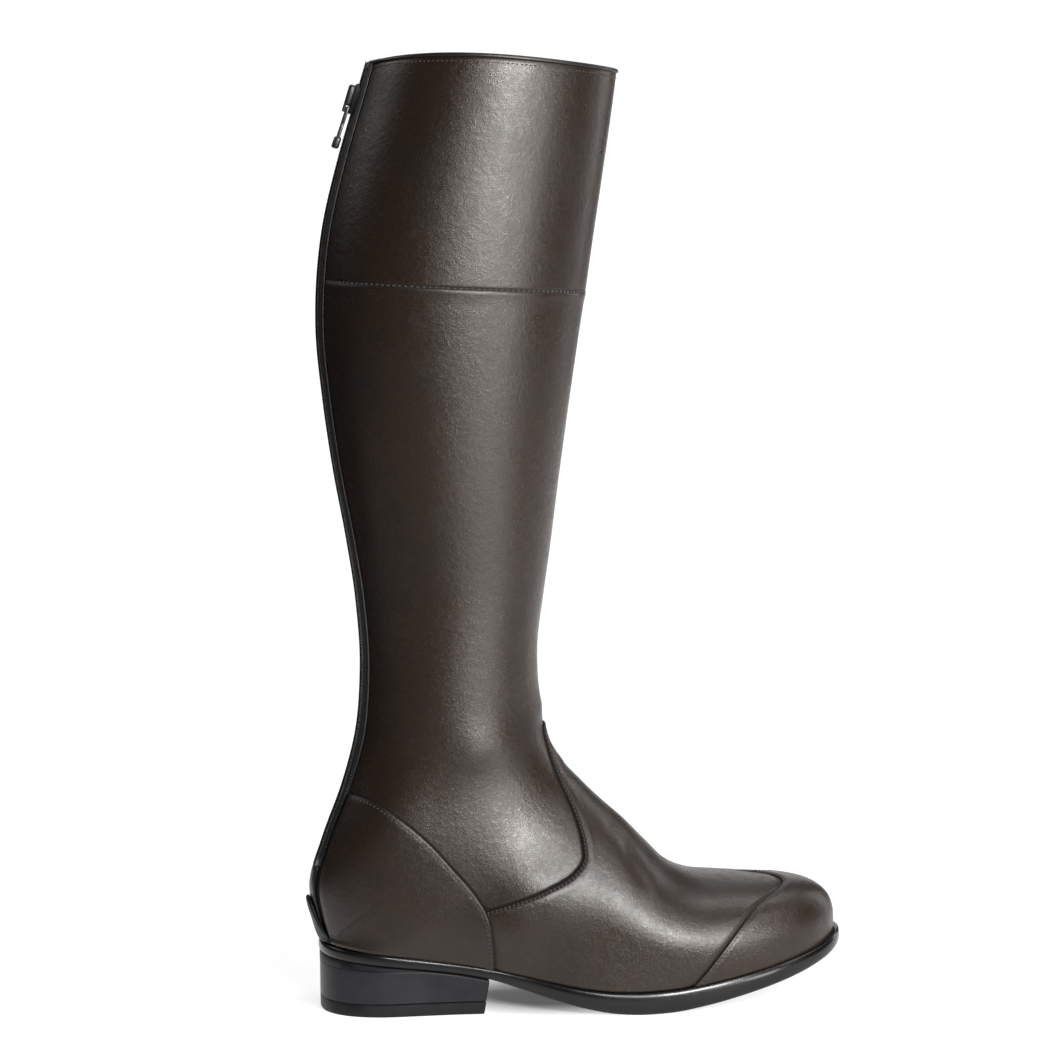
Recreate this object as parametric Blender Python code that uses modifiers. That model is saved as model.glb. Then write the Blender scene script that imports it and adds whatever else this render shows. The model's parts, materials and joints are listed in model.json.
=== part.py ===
"""A right riding boot: a tall leather shaft with a zip down the back, on a welted sole and a stacked heel.

The boot stands on z = 0, its toe along +X and its inner side along +Y, with the origin under the middle
of its bounding box. Sizes are in millimetres. Lengths along the foot, called x, run from the rearmost
point, on the spur rest, toward the toe.
"""

import math
from collections import namedtuple

import bmesh
import bpy
import numpy as np
from mathutils import Matrix, Vector

MM = 0.001

# Whole boot
CENTRE_X = 137.3
GAP = 0.3

# Upper
WALL = 2.0
SHEET_COLUMNS = 22
TIP_X = 269.5
TOE_SHIFT = 4.0
TOE_ROLL_X = 230.0
TOE_ROLL_POWER = 3.6
COLLAR_RISE = 5.0
COLLAR_RISE_REACH = 110.0

# Outline of the foot where the upper meets the welt
HEEL_BACK_X = 8.6
HEEL_ROUND = 35.0
HEEL_POWER = 2.3
HEEL_EDGE_RAISE = 1.0
HEEL_EDGE_REACH = 20.0
TOE_START_LATERAL = 158.0
TOE_START_MEDIAL = 188.0
TOE_POWER_LATERAL = 2.25
TOE_POWER_MEDIAL = 2.3

# Leather overlays: clear gap under each, and its thickness
VAMP_THICK = 0.9
CAP_THICK = 1.8
COUNTER_THICK = 1.1
OVERLAY_LIP = 0.9

# Sole, welt and heel
WELT_INNER = 9.0
WELT_HEEL_REACH = 2.1
WELT_TOE_REACH = 5.0
WELT_HEEL_THICK = 2.2
WELT_TOE_THICK = 3.4
SOLE_EDGE_ROUND = 1.4
INSOLE_THICK = 2.4
INSOLE_INSET = 4.2
BREAST_X = 87.4
BREAST_RAKE = 2.2
HEEL_TAPER = 1.0
TOP_PIECE = 6.5

# Zip, measured along the leather from the middle of the back
SLIT_HALF = 4.5
SLIT_OPENS_OVER = 8.0
FACING_INNER = 4.2
FACING_OUTER = 11.5
FACING_THICK = 1.0
TAPE_HALF = 12.0
TAPE_DEPTH = 3.4
TAPE_THICK = 0.8
CHAIN_HALF = 2.6
CHAIN_TOP = 0.6
BINDING_DEPTH = 2.4
BINDING_THICK = 0.6

# Slider and pull, in the slider's own frame: out from the leather, across, and up the back
SLIDER_Z = 451.8
SLIDER_LONG = 15.4
SLIDER_WIDE = 8.6
SLIDER_PLATE = 1.3
BAIL_WIDE = 2.2
BAIL_THICK = 1.3
BAIL_CLEAR = 2.1
PULL_AXIS_UP = -5.1
PULL_BAR = 0.6
PULL_WIDE = 6.2
PULL_WINDOW = 3.4
PULL_OPEN = 8.0
PULL_LONG = 20.8
PULL_THICK = 0.9
GRIP_LONG = 6.0
GRIP_THICK = 3.2

# Spur rest, seen from behind
SPUR_THICK = 1.5
SPUR_LIFT = 1.9
SPUR_TOP_Z = 57.5
SPUR_FOOT_Z = 36.2

SoleRow = namedtuple("SoleRow", "x feather_z tread_z lateral medial")
SOLE_ROWS = [
    SoleRow(5, 34.7, 29.0, 30.5, 30.5),
    SoleRow(30, 32.2, 26.3, 30.5, 30.5),
    SoleRow(68, 26.6, 21.6, 30.0, 29.0),
    SoleRow(88, 23.2, 18.4, 31.0, 27.0),
    SoleRow(104, 19.9, 12.2, 34.0, 27.0),
    SoleRow(118, 16.7, 8.6, 38.5, 29.5),
    SoleRow(134, 13.5, 4.4, 42.5, 34.0),
    SoleRow(152, 11.6, 0.0, 45.0, 39.0),
    SoleRow(176, 11.8, 0.0, 45.5, 43.0),
    SoleRow(194, 13.8, 2.8, 45.5, 44.0),
    SoleRow(216, 17.2, 6.6, 45.5, 44.0),
    SoleRow(244, 22.4, 13.2, 45.5, 44.0),
    SoleRow(262, 26.8, 19.0, 45.5, 44.0),
    SoleRow(275, 31.5, 24.0, 45.5, 44.0),
]

# Each section of the upper lies in a plane from its end, on the welt or on the back, to its top, on the
# ridge of the foot or the front of the shaft. A section with no end_z ends on the welt.
UpperRow = namedtuple("UpperRow", "name top_x top_z end_x end_z lateral medial widest crown lean")
UPPER_ROWS = [
    UpperRow("toe_tip", 269.5, 57.0, 269.5, None, 47.0, 45.5, 0.30, 2.5, 0.0),
    UpperRow("toe_roll", 248.0, 57.4, 248.0, None, 47.0, 45.5, 0.30, 2.4, 0.0),
    UpperRow("cap_edge", 229.0, 59.0, 229.0, None, 47.0, 45.5, 0.30, 2.3, 1.0),
    UpperRow("vamp", 212.0, 60.4, 212.0, None, 47.2, 45.6, 0.30, 2.2, 2.0),
    UpperRow("vamp_break", 196.0, 62.4, 194.0, None, 47.2, 45.0, 0.32, 2.1, 3.0),
    UpperRow("throat_foot", 183.3, 68.0, 176.0, None, 46.8, 43.5, 0.34, 2.05, 3.0),
    UpperRow("throat", 171.8, 79.0, 156.0, None, 45.5, 41.0, 0.36, 2.0, 2.5),
    UpperRow("instep_low", 161.0, 90.0, 134.0, None, 43.2, 38.5, 0.40, 2.0, 2.0),
    UpperRow("instep", 149.0, 100.6, 108.0, None, 40.2, 36.5, 0.42, 2.0, 1.5),
    UpperRow("waist", 138.2, 111.2, 78.0, None, 38.0, 36.0, 0.44, 2.0, 1.0),
    UpperRow("heel_seat", 129.3, 121.2, 46.0, None, 37.0, 36.0, 0.46, 2.0, 0.5),
    UpperRow("heel_turn", 125.2, 131.9, 20.0, None, 36.4, 36.0, 0.48, 2.0, 0.0),
    UpperRow("heel_back", 122.6, 139.0, 8.6, None, 36.2, 35.8, 0.48, 2.0, 0.0),
    UpperRow("heel_mid", 121.4, 143.2, 5.6, 47.0, 36.1, 35.8, 0.48, 2.0, 0.0),
    UpperRow("zip_foot", 120.4, 147.2, 3.0, 60.0, 36.0, 35.8, 0.48, 2.0, 0.0),
    UpperRow("counter_high", 118.8, 154.5, 9.3, 84.0, 35.8, 35.6, 0.48, 2.0, 0.0),
    UpperRow("ankle_low", 117.6, 162.5, 19.0, 110.0, 35.6, 35.6, 0.48, 2.0, 0.0),
    UpperRow("ankle", 117.0, 172.0, 26.4, 138.0, 35.6, 35.6, 0.48, 2.0, 0.0),
    UpperRow("ankle_high", 117.2, 185.0, 29.0, 170.0, 36.0, 36.0, 0.48, 2.0, 0.0),
    UpperRow("leg_low", 119.9, 206.0, 26.9, 205.0, 37.5, 37.5, 0.48, 2.0, 0.0),
    UpperRow("leg", 123.4, 231.0, 22.3, 236.0, 41.0, 41.0, 0.47, 2.0, 0.0),
    UpperRow("calf_low", 127.4, 263.0, 16.2, 269.0, 45.5, 45.5, 0.46, 2.0, 0.0),
    UpperRow("calf", 132.4, 300.0, 10.9, 306.0, 49.5, 49.5, 0.46, 2.0, 0.0),
    UpperRow("calf_high", 137.0, 332.0, 7.9, 338.0, 52.0, 52.0, 0.46, 2.0, 0.0),
    UpperRow("band", 141.0, 358.0, 8.4, 364.0, 53.0, 53.0, 0.46, 2.0, 0.0),
    UpperRow("band_mid", 144.6, 383.0, 11.3, 389.0, 53.0, 53.0, 0.46, 2.0, 0.0),
    UpperRow("top_low", 149.4, 415.0, 18.8, 421.0, 52.4, 52.4, 0.46, 2.0, 0.0),
    UpperRow("top", 153.9, 446.0, 28.0, 452.0, 51.6, 51.6, 0.46, 2.0, 0.0),
    UpperRow("collar", 156.6, 466.4, 33.2, 469.4, 51.0, 51.0, 0.46, 2.0, 0.0),
]

# Seams: the vamp and counter edges as (x, z) seen from the side, the toe cap's edge as (x, y) from above
VAMP_SEAM = [(126, 145), (119.2, 141.4), (120.0, 131.8), (125.2, 114.4), (131.6, 97.8), (134.6, 83.8),
             (134.4, 76.9), (129.6, 71.0), (116.7, 64.2), (101.7, 58.6), (87.4, 54.0)]
COUNTER_SEAM = [(8, 111), (18.7, 110), (28.9, 108.4), (42.5, 99.8), (57.1, 87.3), (69.4, 73.5),
                (79.3, 61.7), (85.4, 51.4), (88.7, 35.9), (90.4, 20)]
CAP_SEAM = [(190, -60), (194, -46), (210.5, -41.5), (227.4, -33), (240.6, -21), (244, -12), (240, -4),
            (236, 2), (240, 8), (243, 14), (240, 21), (228, 32), (212, 40), (196, 46), (192, 60)]


def monotone_slopes(knots, values):
    """Slopes at the knots of a curve that never overshoots its rows."""
    steps = np.diff(knots)
    rates = np.diff(values) / steps
    slopes = np.zeros(len(knots))
    slopes[0] = rates[0]
    slopes[-1] = rates[-1]
    for i in range(1, len(knots) - 1):
        if rates[i - 1] * rates[i] > 0:
            before = 2 * steps[i] + steps[i - 1]
            after = steps[i] + 2 * steps[i - 1]
            slopes[i] = (before + after) / (before / rates[i - 1] + after / rates[i])
    return slopes


def flowing_slopes(knots, values):
    """Slopes at the knots of a curve that runs freely through its rows."""
    steps = np.diff(knots)
    rates = np.diff(values) / steps
    slopes = np.zeros(len(knots))
    slopes[0] = rates[0]
    slopes[-1] = rates[-1]
    slopes[1:-1] = (rates[:-1] * steps[1:] + rates[1:] * steps[:-1]) / (steps[1:] + steps[:-1])
    return slopes


def curve_value(at, knots, values, slopes):
    """The value at a place on the cubic curve through (knots, values)."""
    at = np.clip(at, knots[0], knots[-1])
    i = np.clip(np.searchsorted(knots, at, side="right") - 1, 0, len(knots) - 2)
    step = knots[i + 1] - knots[i]
    t = (at - knots[i]) / step
    start = (1 + 2 * t) * (1 - t) ** 2 * values[i] + t * (1 - t) ** 2 * step * slopes[i]
    return start + t * t * (3 - 2 * t) * values[i + 1] + t * t * (t - 1) * step * slopes[i + 1]


def sole_value(field, x):
    """A column of the sole table, read at a length along the foot."""
    knots = np.array([row.x for row in SOLE_ROWS], float)
    values = np.array([getattr(row, field) for row in SOLE_ROWS], float)
    return curve_value(x, knots, values, monotone_slopes(knots, values))


def taper(x, start, stop, power):
    """Falls from 1 at start to 0 at stop along a rounded nose."""
    t = np.clip((x - start) / (stop - start), 0, 1)
    return (1 - t ** power) ** (1 / power)


def toe_taper(x, side):
    """Narrowing of the outer (side -1) or inner (side 1) edge toward the toe."""
    if side < 0:
        return taper(x, TOE_START_LATERAL, TIP_X, TOE_POWER_LATERAL)
    return taper(x, TOE_START_MEDIAL, TIP_X, TOE_POWER_MEDIAL)


def axis_y(x):
    """Sideways place of the foot's middle line, which swings to the inner side at the toe."""
    t = np.clip((x - 120) / (TIP_X - 120), 0, 1)
    return TOE_SHIFT * t * t


def feather_half(x, side):
    """Half width of the foot at the welt, on one side of the middle line."""
    width = sole_value("lateral" if side < 0 else "medial", x)
    heel = taper(-x, -(HEEL_BACK_X + HEEL_ROUND), -HEEL_BACK_X, HEEL_POWER)
    return width * heel * toe_taper(x, side)


def lower_edge(x):
    """Height of the upper's lower edge, a little higher round the back of the heel."""
    back = np.clip(1 - (x - HEEL_BACK_X) / HEEL_EDGE_REACH, 0, 1)
    return float(sole_value("feather_z", x) + HEEL_EDGE_RAISE * back)


def row_end_z(row):
    return lower_edge(row.end_x) if row.end_z is None else row.end_z


def row_stations():
    """Distance along the upper, from the toe up to the collar, of each row of its table."""
    stations = [0.0]
    for a, b in zip(UPPER_ROWS, UPPER_ROWS[1:]):
        top = math.hypot(b.top_x - a.top_x, b.top_z - a.top_z)
        end = math.hypot(b.end_x - a.end_x, row_end_z(b) - row_end_z(a))
        stations.append(stations[-1] + 0.5 * (top + end))
    return np.array(stations)


STATIONS = row_stations()
STATION = {row.name: STATIONS[i] for i, row in enumerate(UPPER_ROWS)}
ZIP_OPEN = STATION["zip_foot"] + SLIT_OPENS_OVER
COLUMNS = {}
for field_name in UpperRow._fields[1:]:
    if field_name == "end_z":
        COLUMNS[field_name] = np.array([row_end_z(row) for row in UPPER_ROWS])
    else:
        COLUMNS[field_name] = np.array([getattr(row, field_name) for row in UPPER_ROWS], float)


def upper_row(station):
    """The upper's table read between its rows."""
    values = {}
    for field, column in COLUMNS.items():
        values[field] = float(curve_value(station, STATIONS, column, flowing_slopes(STATIONS, column)))
    return values


def section(station, steps=60):
    """Points of one section, from its outer end over its top to its inner end."""
    row = upper_row(station)
    if station <= STATION["heel_back"] + 1e-6:
        row["end_z"] = lower_edge(row["end_x"])
    if row["top_x"] > TOE_ROLL_X:
        roll = taper(row["top_x"], TOE_ROLL_X, TIP_X, TOE_ROLL_POWER)
        row["top_z"] = row["end_z"] + (row["top_z"] - row["end_z"]) * roll
    up = 1 - (1 - np.linspace(0, 1, steps + 1)) ** 1.8
    rise = COLLAR_RISE * np.clip(1 + (station - STATIONS[-1]) / COLLAR_RISE_REACH, 0, 1) ** 2
    x = row["end_x"] + (row["top_x"] - row["end_x"]) * up
    z = row["end_z"] + (row["top_z"] - row["end_z"]) * up + rise * np.sin(math.pi * up ** 0.62)
    middle = axis_y(row["end_x"]) + row["lean"] * up ** 2
    sides = []
    for side, field in ((-1, "lateral"), (1, "medial")):
        widest = max(row[field] * toe_taper(row["top_x"], side), 0.001)
        on_welt = feather_half(row["end_x"], side) if station <= STATION["heel_back"] else 0.0
        share = min(on_welt / widest, 0.9995)
        reach = row["widest"] / math.sqrt(1 - share * share)
        above = np.clip((up - row["widest"]) / (1 - row["widest"]), 0, 1)
        below = np.clip((row["widest"] - up) / reach, 0, 1)
        crown = (1 - above ** row["crown"]) ** (1 / row["crown"])
        half = widest * crown * np.sqrt(1 - below ** 2)
        sides.append(np.stack([x, middle + side * half, z], axis=1))
    return np.concatenate([sides[0], sides[1][::-1][1:]])


def along(points, distances):
    """Points at the given distances along a line of points; negative ones are measured from its end."""
    runs = np.concatenate([[0], np.cumsum(np.linalg.norm(np.diff(points, axis=0), axis=1))])
    places = np.where(distances < 0, runs[-1] + distances, distances)
    return np.stack([np.interp(places, runs, points[:, k]) for k in range(3)], axis=1)


def spread(points, count, trim=0.0):
    """The same line of points, evenly spaced, with a length trimmed off both ends."""
    length = np.linalg.norm(np.diff(points, axis=0), axis=1).sum()
    return along(points, np.linspace(trim, length - trim, count + 1))


def upper_line(station):
    """One section of the upper as its sheet holds it, open at the back where the zip runs."""
    opening = SLIT_HALF * min(max((station - STATION["zip_foot"]) / SLIT_OPENS_OVER, 0), 1)
    return spread(section(station), SHEET_COLUMNS, opening)


def eased(start, stop, count, ease):
    """Stations between two rows, crowded toward the start or the stop."""
    t = np.linspace(0, 1, count + 1)
    if ease == "start":
        t = 1 - np.cos(t * math.pi / 2)
    if ease == "stop":
        t = np.sin(t * math.pi / 2)
    return start + (stop - start) * t


def sheet_stations():
    """The stations that every sheet of the upper shares, so that their facets lie parallel."""
    parts = [
        eased(STATION["toe_tip"], STATION["cap_edge"], 7, "start"),
        eased(STATION["cap_edge"], STATION["heel_seat"], 11, "even"),
        eased(STATION["heel_seat"], STATION["heel_back"], 5, "stop"),
        eased(STATION["heel_back"], STATION["zip_foot"], 3, "even"),
        eased(STATION["zip_foot"], ZIP_OPEN, 1, "even"),
        eased(ZIP_OPEN, STATION["leg_low"], 5, "even"),
        eased(STATION["leg_low"], STATION["collar"], 9, "even"),
    ]
    return np.concatenate([parts[0]] + [part[1:] for part in parts[1:]])


SHEET = sheet_stations()


def place(point):
    """A point of the boot's tables in the boot's own frame, in metres."""
    return Vector(((point[0] - CENTRE_X) * MM, point[1] * MM, point[2] * MM))


def grid_bmesh(grid, keep=None, middle=None):
    """A sheet over a grid of points, its cells split alike on both sides of a middle column; keep picks cells."""
    if middle is None:
        middle = (len(grid[0]) - 1) // 2
    bm = bmesh.new()
    verts = [[bm.verts.new(place(point)) for point in line] for line in grid]
    for i in range(len(verts) - 1):
        for j in range(len(verts[i]) - 1):
            if keep is None or keep(i, j):
                a, b, c, d = verts[i][j], verts[i][j + 1], verts[i + 1][j + 1], verts[i + 1][j]
                if j < middle:
                    bm.faces.new((a, b, c))
                    bm.faces.new((a, c, d))
                else:
                    bm.faces.new((a, b, d))
                    bm.faces.new((b, c, d))
    bmesh.ops.remove_doubles(bm, verts=bm.verts, dist=2e-6)
    bmesh.ops.dissolve_degenerate(bm, edges=bm.edges, dist=1e-6)
    loose = [vert for vert in bm.verts if not vert.link_faces]
    bmesh.ops.delete(bm, geom=loose, context="VERTS")
    bm.normal_update()
    return bm


def lift(bm, distance):
    """Moves a sheet out along its normals."""
    moves = [(vert, vert.normal * distance * MM) for vert in bm.verts]
    for vert, move in moves:
        vert.co += move
    bm.normal_update()


def loop_bmesh(loops, closed_ends=True):
    """A solid skinned over loops of points that match one to one; the end loops are bridged across."""
    bm = bmesh.new()
    rings = [[bm.verts.new(place(point)) for point in loop] for loop in loops]
    count = len(rings[0])
    for low, high in zip(rings, rings[1:]):
        for j in range(count):
            k = (j + 1) % count
            bm.faces.new((low[j], low[k], high[k], high[j]))
    if closed_ends:
        for ring in (rings[0], rings[-1]):
            bridge(bm, ring)
    bmesh.ops.recalc_face_normals(bm, faces=bm.faces)
    return bm


def bridge(bm, ring):
    """Closes a loop by strips between its two sides, which start and stop at the loop's two ends."""
    count = len(ring)
    half = count // 2
    for j in range(half):
        corners = [ring[j], ring[j + 1], ring[count - 1 - j], ring[(count - j) % count]]
        unique = []
        for corner in corners:
            if corner not in unique:
                unique.append(corner)
        if len(unique) >= 3:
            bm.faces.new(unique)


parts_collection = None
cutters_collection = None
root = None


def material(name, colour, roughness, metallic=0.0):
    found = bpy.data.materials.get(name)
    if found:
        return found
    made = bpy.data.materials.new(name)
    made.use_nodes = True
    shader = made.node_tree.nodes["Principled BSDF"]
    shader.inputs["Base Color"].default_value = (*colour, 1.0)
    shader.inputs["Roughness"].default_value = roughness
    shader.inputs["Metallic"].default_value = metallic
    made.diffuse_color = (*colour, 1.0)
    return made


def add_part(name, bm, finish, parent=None):
    """Makes a named piece of the boot from a mesh."""
    mesh = bpy.data.meshes.new(name)
    bm.to_mesh(mesh)
    bm.free()
    mesh.materials.append(finish)
    mesh.shade_smooth()
    piece = bpy.data.objects.new(name, mesh)
    parts_collection.objects.link(piece)
    piece.parent = parent or root
    return piece


def add_cutter(name, bm):
    """Makes a hidden solid that other pieces are cut with."""
    mesh = bpy.data.meshes.new(name)
    bm.to_mesh(mesh)
    bm.free()
    cutter = bpy.data.objects.new(name, mesh)
    cutter.hide_render = True
    cutter.display_type = "WIRE"
    cutters_collection.objects.link(cutter)
    cutter.parent = root
    return cutter


def solidify(piece, thickness, outward):
    thicken = piece.modifiers.new("wall", "SOLIDIFY")
    thicken.thickness = thickness * MM
    thicken.offset = 1.0 if outward else -1.0
    thicken.use_even_offset = False


def cut(piece, cutter, operation):
    boolean = piece.modifiers.new(operation.lower(), "BOOLEAN")
    boolean.operation = operation
    boolean.solver = "EXACT"
    boolean.object = cutter


def smooth_line(points, per_span=3):
    """A flowing line through a few points."""
    points = np.array(points, float)
    knots = np.concatenate([[0], np.cumsum(np.linalg.norm(np.diff(points, axis=0), axis=1))])
    places = []
    for a, b in zip(knots, knots[1:]):
        places.extend(np.linspace(a, b, per_span + 1)[:-1])
    places.append(knots[-1])
    lines = [curve_value(np.array(places), knots, points[:, k], flowing_slopes(knots, points[:, k]))
             for k in range(points.shape[1])]
    return [tuple(point) for point in np.stack(lines, axis=1)]


def prism(name, outline, across, low, high):
    """A cutter with a flat outline, drawn out along the axis that the outline leaves free."""
    bm = bmesh.new()
    rings = []
    for depth in (low, high):
        ring = []
        for a, b in outline:
            point = {"y": (a, depth, b), "z": (a, b, depth), "x": (depth, a, b)}[across]
            ring.append(bm.verts.new(place(point)))
        rings.append(ring)
    count = len(outline)
    for j in range(count):
        k = (j + 1) % count
        bm.faces.new((rings[0][j], rings[0][k], rings[1][k], rings[1][j]))
    bm.faces.new(rings[0][::-1])
    bm.faces.new(rings[1])
    bmesh.ops.recalc_face_normals(bm, faces=bm.faces)
    return add_cutter(name, bm)


def welt_line(start, stop, count=16):
    """A line just above the welt, seen from the side."""
    lengths = np.linspace(start, stop, count)
    return [(x, float(sole_value("feather_z", x)) + OVERLAY_LIP) for x in lengths]


def upper_sheet(first, last, side=0):
    """The upper's outer surface between two stations, as an open sheet; side picks one half of it."""
    picked = [s for s in SHEET if first - 1e-6 <= s <= last + 1e-6]
    lines = [upper_line(s) for s in picked]
    half = SHEET_COLUMNS // 2
    middle = half
    if side < 0:
        lines = [line[:half + 1] for line in lines]
    if side > 0:
        lines = [line[half:] for line in lines]
        middle = 0
    return grid_bmesh(lines, middle=middle)


def back_sheet(stations, offsets, keep=None):
    """A strip of the upper's surface up its back; offsets run across it from the middle of the back."""
    grid = []
    for station in stations:
        line = section(station, 160)
        row = []
        for offset in sorted(offsets, reverse=True):
            if abs(offset) < 1e-9:
                row.append(line[0])
            else:
                row.append(along(line, np.array([-offset]))[0])
        grid.append(row)
    return grid_bmesh(grid, keep)


def make_upper(leather):
    bm = upper_sheet(STATIONS[0], STATIONS[-1])
    upper = add_part("upper", bm, leather)
    solidify(upper, WALL, outward=False)


def make_overlays(leather):
    """Vamp, toe cap and counters, each cut from a sheet laid over the upper."""
    vamp_edge = smooth_line(VAMP_SEAM)
    counter_edge = smooth_line(COUNTER_SEAM)
    below_vamp = [(x + 0.5, z) for x, z in counter_edge if 26 < z < 53]
    front = [(300, 20), (300, 160), (140, 160)]
    vamp_outline = vamp_edge + below_vamp + welt_line(91.2, 276) + front
    vamp_cutter = prism("vamp_outline", vamp_outline, "y", -90, 90)
    bm = upper_sheet(STATION["toe_tip"], STATION["ankle_low"])
    lift(bm, GAP)
    vamp = add_part("vamp", bm, leather)
    solidify(vamp, VAMP_THICK, outward=True)
    cut(vamp, vamp_cutter, "INTERSECT")
    cap_edge = smooth_line(CAP_SEAM)
    behind_cap = prism("behind_cap", [(x - GAP, y) for x, y in cap_edge] + [(300, 60), (300, -60)], "z", -20, 120)
    cut(vamp, behind_cap, "DIFFERENCE")

    cap_cutter = prism("cap_outline", cap_edge + [(300, 60), (300, -60)], "z", -20, 120)
    sole_cutter = prism("cap_foot", welt_line(150, 276) + [(300, 30), (300, 120), (150, 120)], "y", -90, 90)
    bm = upper_sheet(STATION["toe_tip"], STATION["throat"])
    lift(bm, GAP)
    cap = add_part("toe_cap", bm, leather)
    solidify(cap, CAP_THICK, outward=True)
    cut(cap, cap_cutter, "INTERSECT")
    cut(cap, sole_cutter, "INTERSECT")

    counter_outline = [point for point in counter_edge if point[1] > 26]
    counter_outline += welt_line(89.8, -6) + [(-20, 36), (-20, 111)]
    for name, side in (("counter_lateral", -1), ("counter_medial", 1)):
        near = side * (FACING_OUTER + 1.0)
        cutter = prism(name + "_outline", counter_outline, "y", near, side * 90)
        bm = upper_sheet(STATION["instep_low"], STATION["ankle_high"], side)
        lift(bm, GAP)
        counter = add_part(name, bm, leather)
        solidify(counter, COUNTER_THICK, outward=True)
        cut(counter, cutter, "INTERSECT")


def make_spur_rest(rubber):
    """A shield over the foot of the zip facing, cut to its outline from behind."""
    stations = [s for s in SHEET if STATION["waist"] <= s <= STATION["counter_high"] + 1e-6]
    bm = grid_bmesh([spread(section(s, 120), 2 * SHEET_COLUMNS) for s in stations])
    lift(bm, SPUR_LIFT)
    spur = add_part("spur_rest", bm, rubber)
    solidify(spur, SPUR_THICK, outward=True)
    half = [(0, SPUR_TOP_Z), (6, SPUR_TOP_Z - 0.4), (11, 55.2), (16, 51.0), (20, 44.5), (24.5, SPUR_FOOT_Z)]
    right = smooth_line(half, 4)
    left = [(-y, z) for y, z in right[1:]][::-1]
    cutter = prism("spur_outline", left + right, "x", -20, 45)
    cut(spur, cutter, "INTERSECT")


def make_zip(strip_leather, cloth, metal):
    """Facing, tape and chain of the zip, laid along the back from the heel to the collar."""
    top = STATIONS[-1]
    stations = [s for s in SHEET if s >= STATION["heel_back"] - 1e-6]
    rows = [s for s in stations if s < top - 1e-6] + [top - BINDING_DEPTH - 4 * GAP]
    middle = (FACING_INNER + FACING_OUTER) / 2
    offsets = [-FACING_OUTER, -middle, -FACING_INNER, 0, FACING_INNER, middle, FACING_OUTER]

    def in_facing(i, j):
        return j not in (2, 3) or rows[i + 1] <= ZIP_OPEN + 1e-6

    bm = back_sheet(rows, offsets, in_facing)
    lift(bm, GAP)
    facing = add_part("zip_facing", bm, strip_leather)
    solidify(facing, FACING_THICK, outward=True)

    low = ZIP_OPEN + 1
    rows = [low] + [s for s in stations if low + 2 < s < top - 12] + [top - 8]
    bm = back_sheet(rows, [-TAPE_HALF, -TAPE_HALF / 2, 0, TAPE_HALF / 2, TAPE_HALF])
    lift(bm, -TAPE_DEPTH)
    tape = add_part("zip_tape", bm, cloth)
    solidify(tape, TAPE_THICK, outward=False)

    bm = back_sheet(rows, [-CHAIN_HALF, 0, CHAIN_HALF])
    lift(bm, CHAIN_TOP)
    chain = add_part("zip_chain", bm, metal)
    solidify(chain, CHAIN_TOP + TAPE_DEPTH - GAP, outward=False)


def make_binding(edging):
    """A thin strip folded over the collar, from one side of the zip round to the other."""
    top_line = upper_line(SHEET[-1])
    below = upper_line(SHEET[-2])
    drop = np.linalg.norm(top_line - below, axis=1, keepdims=True)
    low_line = top_line + (below - top_line) * BINDING_DEPTH / drop
    across = np.gradient(top_line, axis=0)
    rising = top_line - low_line
    rising = rising / np.linalg.norm(rising, axis=1, keepdims=True)
    outward = np.cross(across, rising)
    outward = outward / np.linalg.norm(outward, axis=1, keepdims=True)
    outer = GAP + BINDING_THICK
    inner = -WALL - GAP - BINDING_THICK
    crown = top_line + rising * (GAP + BINDING_THICK)
    seat = top_line + rising * GAP
    profile = [
        low_line + outward * outer,
        crown + outward * (outer - 0.4),
        crown + outward * (inner + 0.4),
        low_line + outward * inner,
        low_line + outward * (inner + BINDING_THICK),
        seat + outward * (-WALL - GAP),
        seat + outward * GAP,
        low_line + outward * GAP,
    ]
    loops = np.stack(profile, axis=1)
    bm = bmesh.new()
    rings = [[bm.verts.new(place(point)) for point in loop] for loop in loops]
    for a, b in zip(rings, rings[1:]):
        for j in range(8):
            k = (j + 1) % 8
            bm.faces.new((a[j], a[k], b[k], b[j]))
    for ring in (rings[0], rings[-1]):
        for quad in ((0, 1, 6, 7), (1, 2, 5, 6), (2, 3, 4, 5)):
            bm.faces.new([ring[k] for k in quad])
    bmesh.ops.recalc_face_normals(bm, faces=bm.faces)
    add_part("collar_binding", bm, edging)


def foot_outline(reach, count=32):
    """The foot's outline moved out by reach(x), heel to toe up the outer side and back down the inner."""
    t = np.linspace(0, math.pi, count + 1)
    lengths = HEEL_BACK_X + (TIP_X - HEEL_BACK_X) * (1 - np.cos(t)) / 2
    sides = []
    for side in (-1, 1):
        y = axis_y(lengths) + side * feather_half(lengths, side)
        sides.append(np.stack([lengths, y], axis=1))
    loop = np.concatenate([sides[0], sides[1][::-1][1:-1]])
    ahead = np.roll(loop, -1, axis=0)
    behind = np.roll(loop, 1, axis=0)
    tangent = ahead - behind
    normal = np.stack([tangent[:, 1], -tangent[:, 0]], axis=1)
    normal = normal / np.linalg.norm(normal, axis=1, keepdims=True)
    return loop + normal * np.array([reach(x) for x in loop[:, 0]])[:, None]


def forefoot(x):
    """0 at the heel, 1 at the toe, changing over the waist and ball."""
    t = min(max((x - 95) / 60, 0), 1)
    return t * t * (3 - 2 * t)


def welt_reach(x):
    t = min(max((x - 120) / 140, 0), 1)
    return WELT_HEEL_REACH + 0.8 * forefoot(x) + (WELT_TOE_REACH - WELT_HEEL_REACH - 0.8) * t * t


def welt_thick(x):
    return WELT_HEEL_THICK + (WELT_TOE_THICK - WELT_HEEL_THICK) * forefoot(x)


def with_heights(outline, height):
    return np.array([(x, y, height(x)) for x, y in outline])


def feather(x):
    return float(sole_value("feather_z", x))


def tread(x):
    return float(sole_value("tread_z", x))


def welt_top(x):
    return feather(x) - GAP


def welt_low(x):
    return welt_top(x) - welt_thick(x)


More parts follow.
